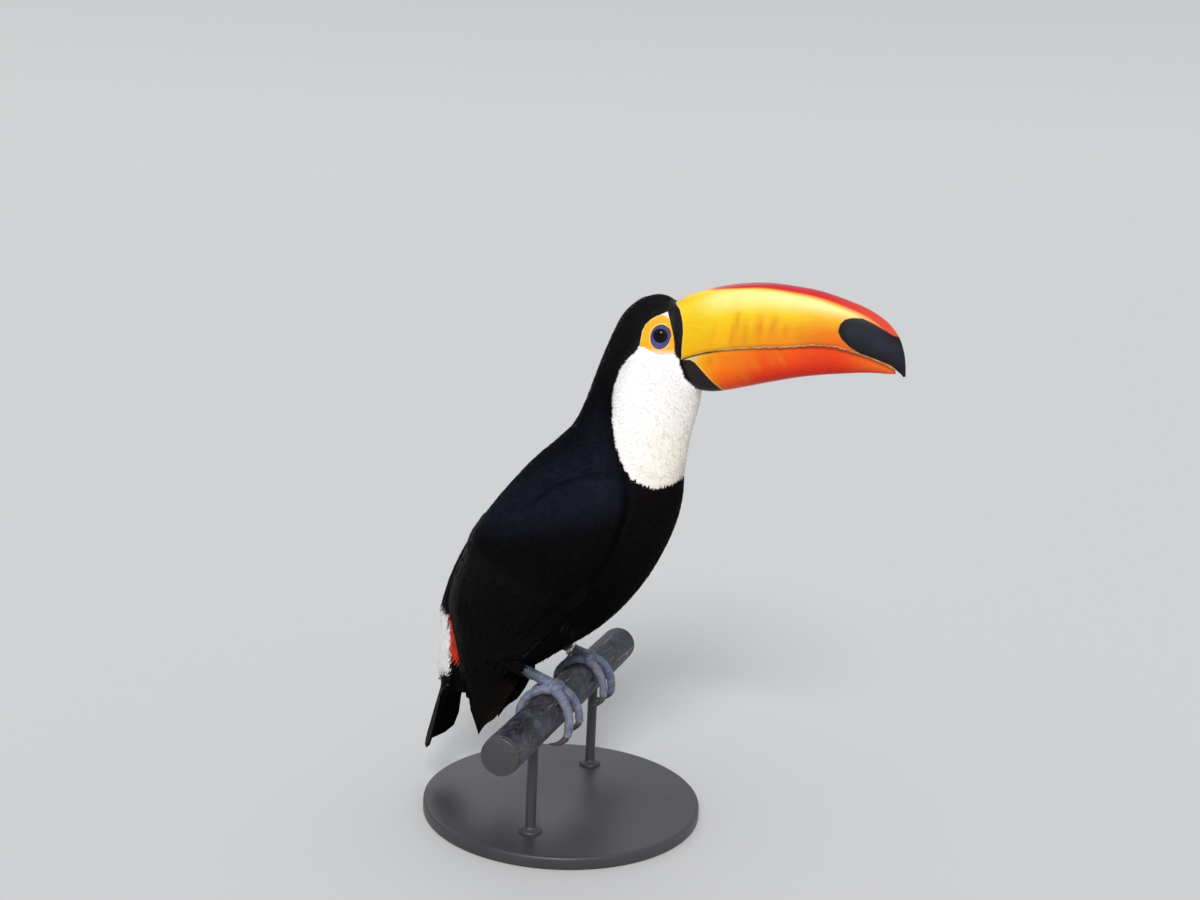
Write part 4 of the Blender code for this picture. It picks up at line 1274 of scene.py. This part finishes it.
def make_tail():
    def place(a, b, height):
        return np.stack([-(STERN(a, b) + height), a, b], -1)

    solid_copy("tail_ground", "tail")
    vanes("tail_feathers", tail_feathers(), place, thick=0.4, tip_power=4.0)


make_wings()
make_tail()


# Bill


def smooth_stations(stations, steps):
    """The list of sections with more between them, on a Catmull-Rom curve through all."""
    rows = np.array([[*a, *b, w] for a, b, w in stations], float)
    padded = np.vstack([2 * rows[0] - rows[1], rows, 2 * rows[-1] - rows[-2]])
    made = []
    for i in range(len(rows) - 1):
        p0, p1, p2, p3 = padded[i : i + 4]
        for k in range(steps):
            t = k / steps
            made.append(0.5 * (2 * p1 + (p2 - p0) * t + (2 * p0 - 5 * p1 + 4 * p2 - p3) * t**2
                               + (3 * p1 - p0 - 3 * p2 + p3) * t**3))
    made.append(rows[-1])
    return np.array(made)


BILL_ARC = 84  # steps of a section, from one cutting edge over the ridge to the other
BILL_STEPS = 12  # sections for each one in the list
SMUDGES_UPPER = (  # upper end, lower end, half width, strength
    ((126.7, 302), (123.6, 278.5), 2.7, 0.8), ((132.8, 297), (132.3, 280.5), 2.0, 0.65),
    ((143.4, 301), (142.2, 285.5), 2.8, 0.8), ((154.3, 300.6), (151.5, 288.5), 2.7, 0.75),
    ((162.4, 296), (161.9, 287), 2.2, 0.5), ((172.3, 292), (176, 285.8), 3.4, 0.5),
    ((190, 294), (190.5, 289), 2.4, 0.3), ((111, 296), (108, 281), 2.0, 0.3),
)
SMUDGES_LOWER = (
    ((123.6, 270.4), (130.1, 260.2), 1.9, 0.75), ((128.5, 272.4), (135.5, 260.6), 1.6, 0.65),
    ((118.6, 270.5), (135.3, 253.5), 1.6, 0.6), ((135.1, 271.8), (141, 263.2), 1.9, 0.7),
    ((140.6, 272.7), (144.2, 261.2), 1.6, 0.6), ((150.4, 272.9), (153.9, 266.4), 2.1, 0.55),
    ((155.5, 277), (162.5, 267), 1.9, 0.55), ((107.7, 267.2), (107.4, 263.4), 2.4, 1.0),
)

# Colours at places along the bill, each at shares of the height from the cutting edge up or down. The pale
# yellow high on the upper bill's sides (share 0.82) is its own colour with a painted highlight in it.
UPPER_SHARES = (0, 0.28, 0.54, 0.82, 0.97)
UPPER_COLOURS_AND_HIGHLIGHT = (
    (88, ((0.76, 0.38, 0.005), (0.77, 0.44, 0.005), (0.78, 0.49, 0.006),
          (0.80, 0.57, 0.03), (0.78, 0.51, 0.012))),
    (118, ((0.77, 0.34, 0.006), (0.80, 0.44, 0.006), (0.83, 0.57, 0.015),
           (0.86, 0.77, 0.26), (0.84, 0.66, 0.11))),
    (158, ((0.75, 0.21, 0.008), (0.79, 0.33, 0.008), (0.84, 0.55, 0.018),
           (0.87, 0.79, 0.29), (0.84, 0.57, 0.07))),
    (200, ((0.71, 0.11, 0.010), (0.75, 0.18, 0.010), (0.81, 0.38, 0.018),
           (0.86, 0.71, 0.20), (0.79, 0.34, 0.04))),
    (232, ((0.68, 0.10, 0.012), (0.72, 0.14, 0.013), (0.77, 0.23, 0.02),
           (0.80, 0.43, 0.07), (0.72, 0.17, 0.03))),
)
LOWER_SHARES = (0, 0.5, 0.95)
LOWER_COLOURS = (
    (96, ((0.82, 0.38, 0.005), (0.84, 0.33, 0.005), (0.84, 0.26, 0.005))),
    (120, ((0.82, 0.23, 0.006), (0.84, 0.15, 0.005), (0.80, 0.060, 0.005))),
    (150, ((0.79, 0.13, 0.006), (0.78, 0.060, 0.006), (0.68, 0.016, 0.004))),
    (195, ((0.75, 0.07, 0.008), (0.72, 0.042, 0.007), (0.64, 0.014, 0.005))),
    (236, ((0.77, 0.19, 0.02), (0.76, 0.13, 0.014), (0.72, 0.07, 0.010))),
)
GLOW = np.array([0.85, 0.27, 0.02])
GUM = np.array([0.60, 0.53, 0.22])

# The ridge at places along the bill: how deep its red stripe is, then the glow under it, and the stripe's red
STRIPE_DEPTHS = ((96, 0.0), (106, 1.6), (124, 3.0), (170, 3.9), (202, 4.2), (224, 5.0), (240, 6.0))
GLOW_DEPTHS = ((96, 0.8), (150, 1.8), (200, 3.6), (235, 5.0))
STRIPE_REDS = ((100, (0.47, 0.016, 0.028)), (185, (0.52, 0.020, 0.030)), (238, (0.66, 0.070, 0.030)))


def streaked(points, streaks):
    """How strongly each point is stained, in side view, by a list of short soft streaks."""
    side = points[:, [0, 2]]
    total = np.zeros(len(side))
    for start, end, half, strength in streaks:
        start, span = np.array(start), np.array(end) - np.array(start)
        t = np.clip(((side - start) @ span) / (span @ span), 0, 1)
        away = np.linalg.norm(side - start - t[:, None] * span, axis=1)
        total = np.maximum(total, strength * np.exp(-((away / half) ** 2)) * (0.55 + 0.45 * np.sin(pi * t)))
    return total


def bill_surface(stations, flat_sides):
    """Rings from one cutting edge over the ridge to the other, with each point's share of the height, its
    distance from the cutting edge and the whole height there. Small saw teeth run along the cutting edge."""
    rows = smooth_stations(stations, BILL_STEPS)
    turn = pi * np.arange(BILL_ARC + 1) / BILL_ARC
    height = np.append(np.sin(turn) ** flat_sides, 0)
    across = np.append(np.abs(np.cos(turn)) ** flat_sides * np.sign(np.cos(turn)), 0)
    ridge, edge, width = rows[:, 0:2], rows[:, 2:4], rows[:, 4]
    up = unit(ridge - edge)
    tall = np.linalg.norm(ridge - edge, axis=1)
    saw = (edge[:, 0] - 132) / 8.5
    saw = (saw - np.floor(saw) - 0.5) * smooth_step(128, 142, edge[:, 0]) * smooth_step(216, 204, edge[:, 0])
    reach = BILL_PARTING + (tall[:, None] - BILL_PARTING) * height[None]
    nick = 0.8 * saw[:, None] * np.clip(1 - reach / 3.0, 0, 1)
    x = edge[:, 0, None] + up[:, 0, None] * reach
    z = edge[:, 1, None] + up[:, 1, None] * reach + nick
    rings = np.stack([x, width[:, None] * across[None], z], -1)
    return rings, np.broadcast_to(height[None], x.shape), reach, np.broadcast_to(tall[:, None], x.shape)


def ramped(x, share, colours, shares):
    """A colour from a table over the bill's length and height."""
    rows = np.stack([graded(share, tuple(zip(shares, row))) for _, row in colours])
    place = np.interp(x, [start for start, _ in colours], np.arange(len(colours)))
    first = np.minimum(place.astype(int), len(colours) - 2)
    part = smooth_step(0, 1, place - first)[:, None]
    each = np.arange(len(x))
    return rows[first, each] * (1 - part) + rows[first + 1, each] * part


def upper_colour(x, share, tall):
    """Yellow to orange, pale high on the sides where its own pale yellow holds a painted highlight, with a red
    stripe along the ridge and an orange glow under it.
    """
    colour = ramped(x, share, UPPER_COLOURS_AND_HIGHLIGHT, UPPER_SHARES)
    from_ridge = (1 - share) * tall
    stripe = graded(x, STRIPE_DEPTHS)
    glow = smooth_step(stripe + graded(x, GLOW_DEPTHS), stripe, from_ridge) * smooth_step(94, 106, x)
    solid = smooth_step(stripe + 0.5, stripe - 0.7, from_ridge) * smooth_step(98, 110, x)
    colour = colour + (GLOW - colour) * glow[:, None]
    return colour + (graded(x, STRIPE_REDS) - colour) * solid[:, None]


def lower_colour(x, z, share):
    """Orange to red, with a paler gum at the corner of the mouth."""
    colour = ramped(x, share, LOWER_COLOURS, LOWER_SHARES)
    gum = smooth_step(103, 92, x) * smooth_step(263.5, 266, z)
    return colour + (GUM - colour) * gum[:, None]


def make_bill():
    for name, stations, flat_sides, slot in (("bill_upper", UPPER_BILL, 0.8, "bill_yellow"),
                                             ("bill_lower", LOWER_BILL, 0.75, "bill_orange")):
        rings, *places = bill_surface(stations, flat_sides)
        points, faces = loft(rings)
        caps = len(points) - places[0].size
        share, reach, tall = (np.append(values.ravel(), [values.flat[-1]] * caps) for values in places)
        x, z = points[:, 0], points[:, 2]
        if name == "bill_upper":
            colour = upper_colour(x, share, tall)
            mark = np.minimum(outside(points, BILL_BAND), outside(points, TIP_SPOT))
            smudge = streaked(points, SMUDGES_UPPER)
            brownish = np.zeros(len(x))
        else:
            faces = faces[:, ::-1]
            colour = lower_colour(x, z, share)
            mark = outside(points, CHIN_PATCH)
            smudge = streaked(points, SMUDGES_LOWER)
            brownish = smooth_step(150, 140, x)
        fields = {"mark": mark, "smudge": smudge, "edge": reach, "brownish": brownish,
                  "gape": smooth_step(122, 106, x), "rim": 0.45 * smooth_step(150, 130, x),
                  "slate": smooth_step(150, 160, x)}
        add_piece(name + "_sheath", points, faces, BILL_HORN, slot, (name,), colour, fields)


make_bill()


# Eyes, their blue rings and the bare face round them


RING_DEPTH = 1.6
RING_SPOKES = 144


def flank_height(side, x, z):
    """The outline's distance from the middle plane at each (x, z), on one side."""
    found = np.full(x.shape, np.nan)
    for i, (a, b) in enumerate(zip(x.ravel(), z.ravel())):
        hit = OUTER_TREE.ray_cast(Vector((a, side * 120, b)), Vector((0, -side, 0)))[0]
        found.flat[i] = abs(hit.y) if hit is not None else 10.0
    return found


def ring_piece(name, side, edges, rise, rows, finish, slot, fields):
    """A closed ring round the eye, between an inner and an outer closed line (x, z). Its top follows
    rise(x, z, share), its fields are (x, z, share) too, and share runs from the inner line to the outer."""
    inner, beyond = edges
    spokes = len(inner)
    share = np.broadcast_to(np.linspace(0, 1, rows)[:, None], (rows, spokes))
    flat = inner[None] * (1 - share[..., None]) + beyond[None] * share[..., None]
    x, z = flat[..., 0], flat[..., 1]
    y = rise(x, z, share)
    low = np.stack([x[[-1, 0]], y[[-1, 0]] - RING_DEPTH, z[[-1, 0]]], -1)
    points = np.concatenate([np.stack([x, y, z], -1), low])
    total = rows + 2
    r, c = np.meshgrid(np.arange(total), np.arange(spokes), indexing="ij")
    r, c = r.ravel(), c.ravel()
    e, d = (r + 1) % total, (c + 1) % spokes
    quads = np.column_stack([r * spokes + c, r * spokes + d, e * spokes + d, e * spokes + c])
    faces = halves(quads if side < 0 else quads[:, ::-1])
    kept = {label: np.append(values(x, z, share).ravel(), np.zeros(2 * spokes))
            for label, values in fields.items()}
    add_piece(name, points.reshape(-1, 3) * (1, side, 1), faces, finish, slot, (), None, kept)


def oval(place, shrink=0.0):
    (x, z), (wide, tall) = place
    angle = np.arange(RING_SPOKES) * 2 * pi / RING_SPOKES
    return np.column_stack([x + (wide - shrink) * np.cos(angle), z + (tall - shrink) * np.sin(angle)])


def face_edge(start):
    """From each point of a line round the eye, straight out to just inside the edge of the bare face."""
    middle = np.array(LID_OUTER[0])
    ways = unit(start - middle)
    reach = np.arange(0, 26, 0.1)
    spots = start[:, None] + ways[:, None] * reach[None, :, None]
    within = outside(spots.reshape(-1, 2), FACE).reshape(len(start), -1) < -0.15
    return start + ways * np.maximum(within.sum(1) * 0.1, 0.4)[:, None]


def lid_shade_and_rim(x, z, share):
    """Darkness of the blue ring: painted shade deep along the eye, a dark line, less deep, along the outer
    rim, and painted shade in a fold between.
    """
    fold = 0.3 * np.exp(-(((share - 0.42) / 0.07) ** 2))
    return np.clip(np.exp(-share * 12) + 1.4 * np.exp(-(1 - share) * 7) + fold, 0, 1)


# Where the painted highlight lies on the bare face
def face_highlight(x, z, share):
    flat = np.column_stack([x.ravel(), z.ravel()])
    return smooth_step(0.5, -0.5, outside(flat, FACE_HIGHLIGHT)).reshape(x.shape)


FACE_FIELDS = {
    "rim": lambda x, z, share: np.exp(-(((share - 0.06) / 0.06) ** 2)),
    "low": lambda x, z, share: smooth_step(273.6, 269.4, z),
    "spot": face_highlight,
    "verge": lambda x, z, share: smooth_step(0.86, 0.95, share) * (z > 277) * (x < 76),
}


def make_eyes():
    eye_material, lid_material, face_material = eye_finish(), lid_finish(), face_finish()
    (eye_x, eye_y, eye_z), (lid_x, lid_z) = EYE, LID_OUTER[0]
    for side, end in ((1, "left"), (-1, "right")):
        profile = [(-EYE_RADIUS * cos(t), EYE_RADIUS * sin(t)) for t in np.linspace(0.02, pi - 0.02, 33)]
        points, faces = loft(turned((eye_x, side * eye_y, eye_z), (0, side, 0), profile, 56))
        fields = {"pupil": np.hypot(points[:, 0] - LID_INNER[0][0], points[:, 2] - LID_INNER[0][1])}
        add_piece("eyeball_" + end, points, faces, eye_material, "eye", ("eye_" + end,), None, fields)

        def lid_rise(x, z, share, side=side):
            rest = flank_height(side, x[-1:], z[-1:])
            ball = eye_y + np.sqrt(np.maximum(EYE_RADIUS**2 - (x[:1] - eye_x) ** 2 - (z[:1] - eye_z) ** 2, 0))
            angle = np.arctan2(z - lid_z, x - lid_x)
            base = ball + 0.15 + (rest - ball - 0.15) * share
            fold = 0.13 * np.cos(share * 5 * pi) + 0.05 * np.sin(31 * angle)
            fold = fold + 0.06 * np.sin(9 * angle + 7 * share)
            return base + 0.95 * np.sin(pi * share) ** 0.7 + fold * np.sin(pi * share)

        def face_rise(x, z, share, side=side):
            angle = np.arctan2(z - lid_z, x - lid_x)
            fold = 0.09 * np.sin(share * 9 * pi + 1.5 * np.sin(3 * angle))
            fold = fold + 0.06 * np.sin(23 * angle + 5 * share)
            lip = 0.3 * np.exp(-(((share - 0.04) / 0.06) ** 2))
            return flank_height(side, x, z) + 0.08 + fold * np.sin(pi * share) + lip - 0.5 * share**8

        ring_piece("eye_ring_" + end, side, (oval(LID_INNER), oval(LID_OUTER)), lid_rise, 24, lid_material,
                   "leg_skin", {"crease": lid_shade_and_rim})
        start = oval(LID_OUTER, shrink=0.35)
        ring_piece("face_skin_" + end, side, (start, face_edge(start)), face_rise, 22, face_material,
                   "bill_orange", FACE_FIELDS)


make_eyes()


# Legs


LINE_POINTS = 60  # along each toe and along the tarsus
THIGH_FEATHERS = 110


def around_perch(sign, angle, sideways, side, radius):
    """A point that far from the perch's axis; the angle in degrees runs from the top over the front or
    back."""
    turn = np.radians(angle)
    return np.stack([sign * radius * np.sin(turn), side * (FOOT_PLACE + sideways) + 0 * turn,
                     -PERCH_RADIUS + radius * np.cos(turn)], -1)


def toe_line(spec, side):
    sign, root, tip, toe_end, _, thick, lift = spec
    t = np.linspace(0, 1, LINE_POINTS)
    slim = thick * (1 - 0.25 * t)
    angle = (sign * PAD_ANGLE + 5) * (1 - t) + toe_end * t
    radius = PERCH_RADIUS + GAP + slim + lift * t**2.5
    return around_perch(sign, angle, root + (tip - root) * t**0.8, side, radius)


def claw_rings(spec, side):
    sign, _, tip, toe_end, claw_end, thick, lift = spec
    t = np.linspace(0, 1, 26)
    start = toe_end + CLAW_OFFSET
    slim = 0.66 * thick * (1 - t) ** 0.75 + 0.16
    reach = PERCH_RADIUS + GAP + 0.75 * thick + lift - (0.3 * thick + 0.25 * lift) * t * t
    line = around_perch(sign, start + (claw_end - start) * t, tip + 0 * t, side, reach)
    return tube(line, slim, sides=20)


def joined_up(parts):
    """The points and faces of several solids as one mesh."""
    starts = np.cumsum([0] + [len(points) for points, _ in parts[:-1]])
    faces = [each + start for (_, each), start in zip(parts, starts)]
    return np.vstack([points for points, _ in parts]), np.vstack(faces)


def make_leg_skin(pad, heel, side, end):
    """Skin of the leg and foot, with plates over the tops of the toes and down the front of the tarsus."""
    names = ["tarsus_" + end, "foot_" + end] + [f"toe_{toe}_{end}" for toe in TOES]
    points, faces = fused(names, growth=0.32, voxel=0.55, rounds=3)
    lines = [toe_line(spec, side) for spec in TOES.values()]
    lines.append(pad + (heel - pad) * np.linspace(0, 1, LINE_POINTS)[:, None])
    joined = np.vstack(lines)
    steps = [np.linalg.norm(np.diff(line, axis=0), axis=1) for line in lines]
    runs = np.concatenate([np.append(0, np.cumsum(each)) for each in steps])
    tree = KDTree(len(joined))
    for i, spot in enumerate(joined.tolist()):
        tree.insert(spot, i)
    tree.balance()
    nearest = np.array([tree.find(point)[1] for point in points.tolist()])
    run = runs[nearest]
    offset = unit(points - joined[nearest])
    radial = unit((points - np.array([0, 0, -PERCH_RADIUS])) * (1, 0, 1))
    on_tarsus = nearest >= LINE_POINTS * len(TOES)
    shin = unit(np.array([0.35, 0, 1.0]))
    facing = np.where(on_tarsus, (offset * shin).sum(1), (offset * radial).sum(1))
    upper = smooth_step(-0.25, 0.35, facing)
    phase = run / np.where(on_tarsus, SCUTE * 1.35, SCUTE)
    part = phase - np.floor(phase)
    plate = 1 - np.abs(2 * part - 1) ** 5
    joint = 0.22 * np.sin(run * 2 * pi / 9.5) * (1 - upper)
    lift = 0.20 * upper * (plate - 0.72) + 0.08 * upper * part + joint
    # The tarsus field from the pad to the heel is a painted shadow under the thigh feathers
    fields = {"groove": upper * smooth_step(0.75, 0.35, plate), "under": smooth_step(0.1, -0.6, facing),
              "shank": on_tarsus * smooth_step(6, 25, run)}
    points = points + normals_of(points, faces) * lift[:, None]
    add_piece("leg_skin_" + end, points, faces, LEG_SCALES, "leg_skin", names, None, fields)


def make_legs():
    for side, end in ((1, "left"), (-1, "right")):
        pad = around_perch(1, np.array([PAD_ANGLE]), 0, side, PERCH_RADIUS + GAP + PAD_HEIGHT)[0]
        heel = np.array([HEEL[0], side * HEEL[1], HEEL[2]])
        make_leg_skin(pad, heel, side, end)
        claws, claw_faces = joined_up([loft(claw_rings(spec, side)) for spec in TOES.values()])
        names = [f"claw_{toe}_{end}" for toe in TOES]
        add_piece("claws_" + end, claws, claw_faces, CLAW_HORN, "claw_horn", names)
        make_thigh_feathers(heel, unit(heel - pad), end)
        if end == "left":
            make_leg_ring(unit(heel - pad))


def make_thigh_feathers(heel, axis, end):
    """Short loose feathers that hang from the thigh over the top of the tarsus."""
    across = unit(np.cross(axis, [0, 1.0, 0]))
    third = np.cross(axis, across)
    parts = []
    for number in range(THIGH_FEATHERS):
        turn = number * 2.4
        spoke = across * cos(turn) + third * sin(turn)
        start = RNG.uniform(5, 9)
        length = RNG.uniform(9, 19)
        rings = []
        for t in np.linspace(0, 1, 6):
            middle = heel + axis * (start - length * t) + spoke * (2.4 + 3.4 * sin(pi * (0.1 + 0.6 * t)))
            half = np.cross(axis, spoke) * (1.9 * (1 - t**4) + 0.12)
            rings.append([middle - half, middle + spoke * 0.3, middle + half, middle - spoke * 0.15])
        parts.append(loft(rings))
    points, faces = joined_up(parts)
    roots = np.repeat(unwrap(np.array([feather[0] for feather, _ in parts])), len(parts[0][0]), axis=0)
    patch = (points - points.min(0)) / np.ptp(points, axis=0) * 0.003
    add_piece("coat_thigh_" + end, points, faces, COAT_BLACK, "plumage_black", (), dark_plumage(points), None,
              {"OFBake": (roots + patch[:, [0, 2]])[faces]})


def make_leg_ring(axis):
    low, high = box_of("leg_ring")
    half, inner, wall, edge = RING_WIDTH / 2, RING_RADIUS - RING_WALL, RING_WALL, 0.15
    profile = [(-half, inner + edge), (-half, inner + wall - edge), (-half + edge, inner + wall),
               (half - edge, inner + wall), (half, inner + wall - edge), (half, inner + edge),
               (half - edge, inner), (-half + edge, inner)]
    rings = turned((low + high) / 2, axis, profile, 72)
    rings = np.concatenate([rings, rings[:1]])
    rows, columns = rings.shape[:2]
    quads = grid_faces(rows, columns, True) % ((rows - 1) * columns)
    add_piece("leg_band", rings[:-1].reshape(-1, 3), halves(quads)[:, ::-1], ring_finish(), "ring_metal",
              ("leg_ring",))


make_legs()


# Perch and stand


def hard(angle, *piece):
    """Adds a piece whose edges are sharp where its faces meet at more than that angle in degrees."""
    add_piece(*piece).data.set_sharp_from_angle(angle=radians(angle))


def make_perch():
    low, high = box_of("perch")
    half = (high[1] - low[1]) / 2
    stations = [(-half, PERCH_RADIUS - 0.7), (-half + 0.3, PERCH_RADIUS - 0.15)]
    stations += [(y, PERCH_RADIUS) for y in np.linspace(-half + 0.9, half - 0.9, 180)]
    stations += [(half - 0.3, PERCH_RADIUS - 0.15), (half, PERCH_RADIUS - 0.7)]
    points, faces = loft(turned((0, 0, -PERCH_RADIUS), (0, 1, 0), stations, 96))
    y = points[:, 1]
    angle = np.arctan2(points[:, 2] + PERCH_RADIUS, points[:, 0])
    dent = 0.09 * np.sin(y * 0.11 + 2 * angle) * np.sin(3 * angle + y * 0.05)
    dent = dent + 0.05 * np.sin(y * 0.37 + 5 * angle)
    radial = unit((points + UP * PERCH_RADIUS) * (1, 0, 1))
    points = points + radial * (dent - 0.12)[:, None]
    hard(50, "perch_rail", points, faces, rail_finish(), "tube_steel", ("perch",))


def make_stand():
    for end in ("left", "right"):
        low, high = box_of("stand_plug_" + end)
        radius, half = (high[2] - low[2]) / 2, (high[1] - low[1]) / 2
        profile = [(-half, radius - 0.9), (-half + 0.3, radius - 0.25), (-half + 0.9, radius),
                   (half - 0.9, radius), (half - 0.3, radius - 0.25), (half, radius - 0.9)]
        points, faces = loft(turned((low + high) / 2, (0, 1, 0), profile, 72))
        hard(60, "rail_plug_" + end, points, faces, STAND_PAINT, "stand_paint", ("stand_plug_" + end,))
        low, high = box_of("stand_rod_" + end)
        middle, radius, tall = (low + high) / 2, (high[0] - low[0]) / 2, high[2] - low[2]
        profile = [(0, radius + 5), (1.4, radius + 5), (2.2, radius + 4.2), (2.6, radius + 1.4),
                   (3.8, radius + 0.3), (5.0, radius), (tall, radius)]
        points, faces = loft(turned((middle[0], middle[1], low[2] - GAP), (0, 0, 1), profile, 48))
        hard(50, "stand_post_" + end, points, faces, STAND_PAINT, "stand_paint", ("stand_rod_" + end,))
    low, high = box_of("stand_base")
    radius, tall = (high[0] - low[0]) / 2, high[2] - low[2]
    profile = [(0, radius - 1.2), (0.35, radius - 0.4), (1.2, radius), (tall - 2.2, radius),
               (tall - 1.0, radius - 0.3), (tall - 0.25, radius - 1.1), (tall, radius - 2.4)]
    points, faces = loft(turned((0, 0, low[2]), (0, 0, 1), profile, 180))
    hard(60, "stand_disc", points, faces, STAND_PAINT, "stand_paint", ("stand_base",))


make_perch()
make_stand()


# Stage, lights and camera


def make_sky():
    """Light from all round: as bright as the lit floor at the horizon, dimmer above it, brightest
    overhead."""
    sky = Finish(bpy.data.worlds.new("studio"), "Background")
    height = sky.step("SeparateXYZ", {"Vector": sky.step("TexCoord", {})["Generated"]})["Z"]
    low = sky.mixed(sky.ranged(height, 0.02, 0.35), (0.638, 0.649, 0.657), (0.45, 0.455, 0.47))
    sky.give("Color", sky.mixed(sky.ranged(height, 0.3, 0.95), low, (0.72, 0.74, 0.78)))
    bpy.context.scene.world = sky.owner


def make_stage():
    mesh = bpy.data.meshes.new("floor")
    mesh.from_pydata([(-40, -40, 0), (40, -40, 0), (40, 40, 0), (-40, 40, 0)], [], [(0, 1, 2, 3)])
    paint = surface("floor_pale", Base_Color=(0.56, 0.56, 0.555, 1), Roughness=0.8, Specular_IOR_Level=0.1)
    mesh.materials.append(paint.owner)
    floor = bpy.data.objects.new("floor", mesh)
    bpy.context.scene.collection.objects.link(floor)
    bpy.context.scene.view_settings.view_transform = "Standard"
    make_sky()
    for name, towards, power, spread in (("key", (-0.20, 0.80, -0.66), 2.3, 20),
                                         ("back", (0.5, -0.85, -0.75), 0.3, 30)):
        light = bpy.data.lights.new(name, "SUN")
        light.energy = power
        light.angle = radians(spread)
        lamp = bpy.data.objects.new(name, light)
        lamp.rotation_euler = Vector(towards).to_track_quat("-Z", "Y").to_euler()
        bpy.context.scene.collection.objects.link(lamp)


def make_camera():
    turn, pitch, roll = radians(CAMERA_TURN), radians(CAMERA_PITCH), radians(CAMERA_ROLL)
    ahead = Vector((-sin(turn) * cos(pitch), cos(turn) * cos(pitch), -sin(pitch)))
    level = Vector((cos(turn), sin(turn), 0))
    over = Vector((-sin(turn) * sin(pitch), cos(turn) * sin(pitch), cos(pitch)))
    right = level * cos(roll) + over * sin(roll)
    up = over * cos(roll) - level * sin(roll)
    lens = bpy.data.cameras.new("camera")
    lens.lens = CAMERA_LENS
    camera = bpy.data.objects.new("camera", lens)
    camera.matrix_world = Matrix.Translation(CAMERA_PLACE) @ Matrix((right, up, -ahead)).transposed().to_4x4()
    bpy.context.scene.collection.objects.link(camera)
    bpy.context.scene.camera = camera


make_stage()
make_camera()
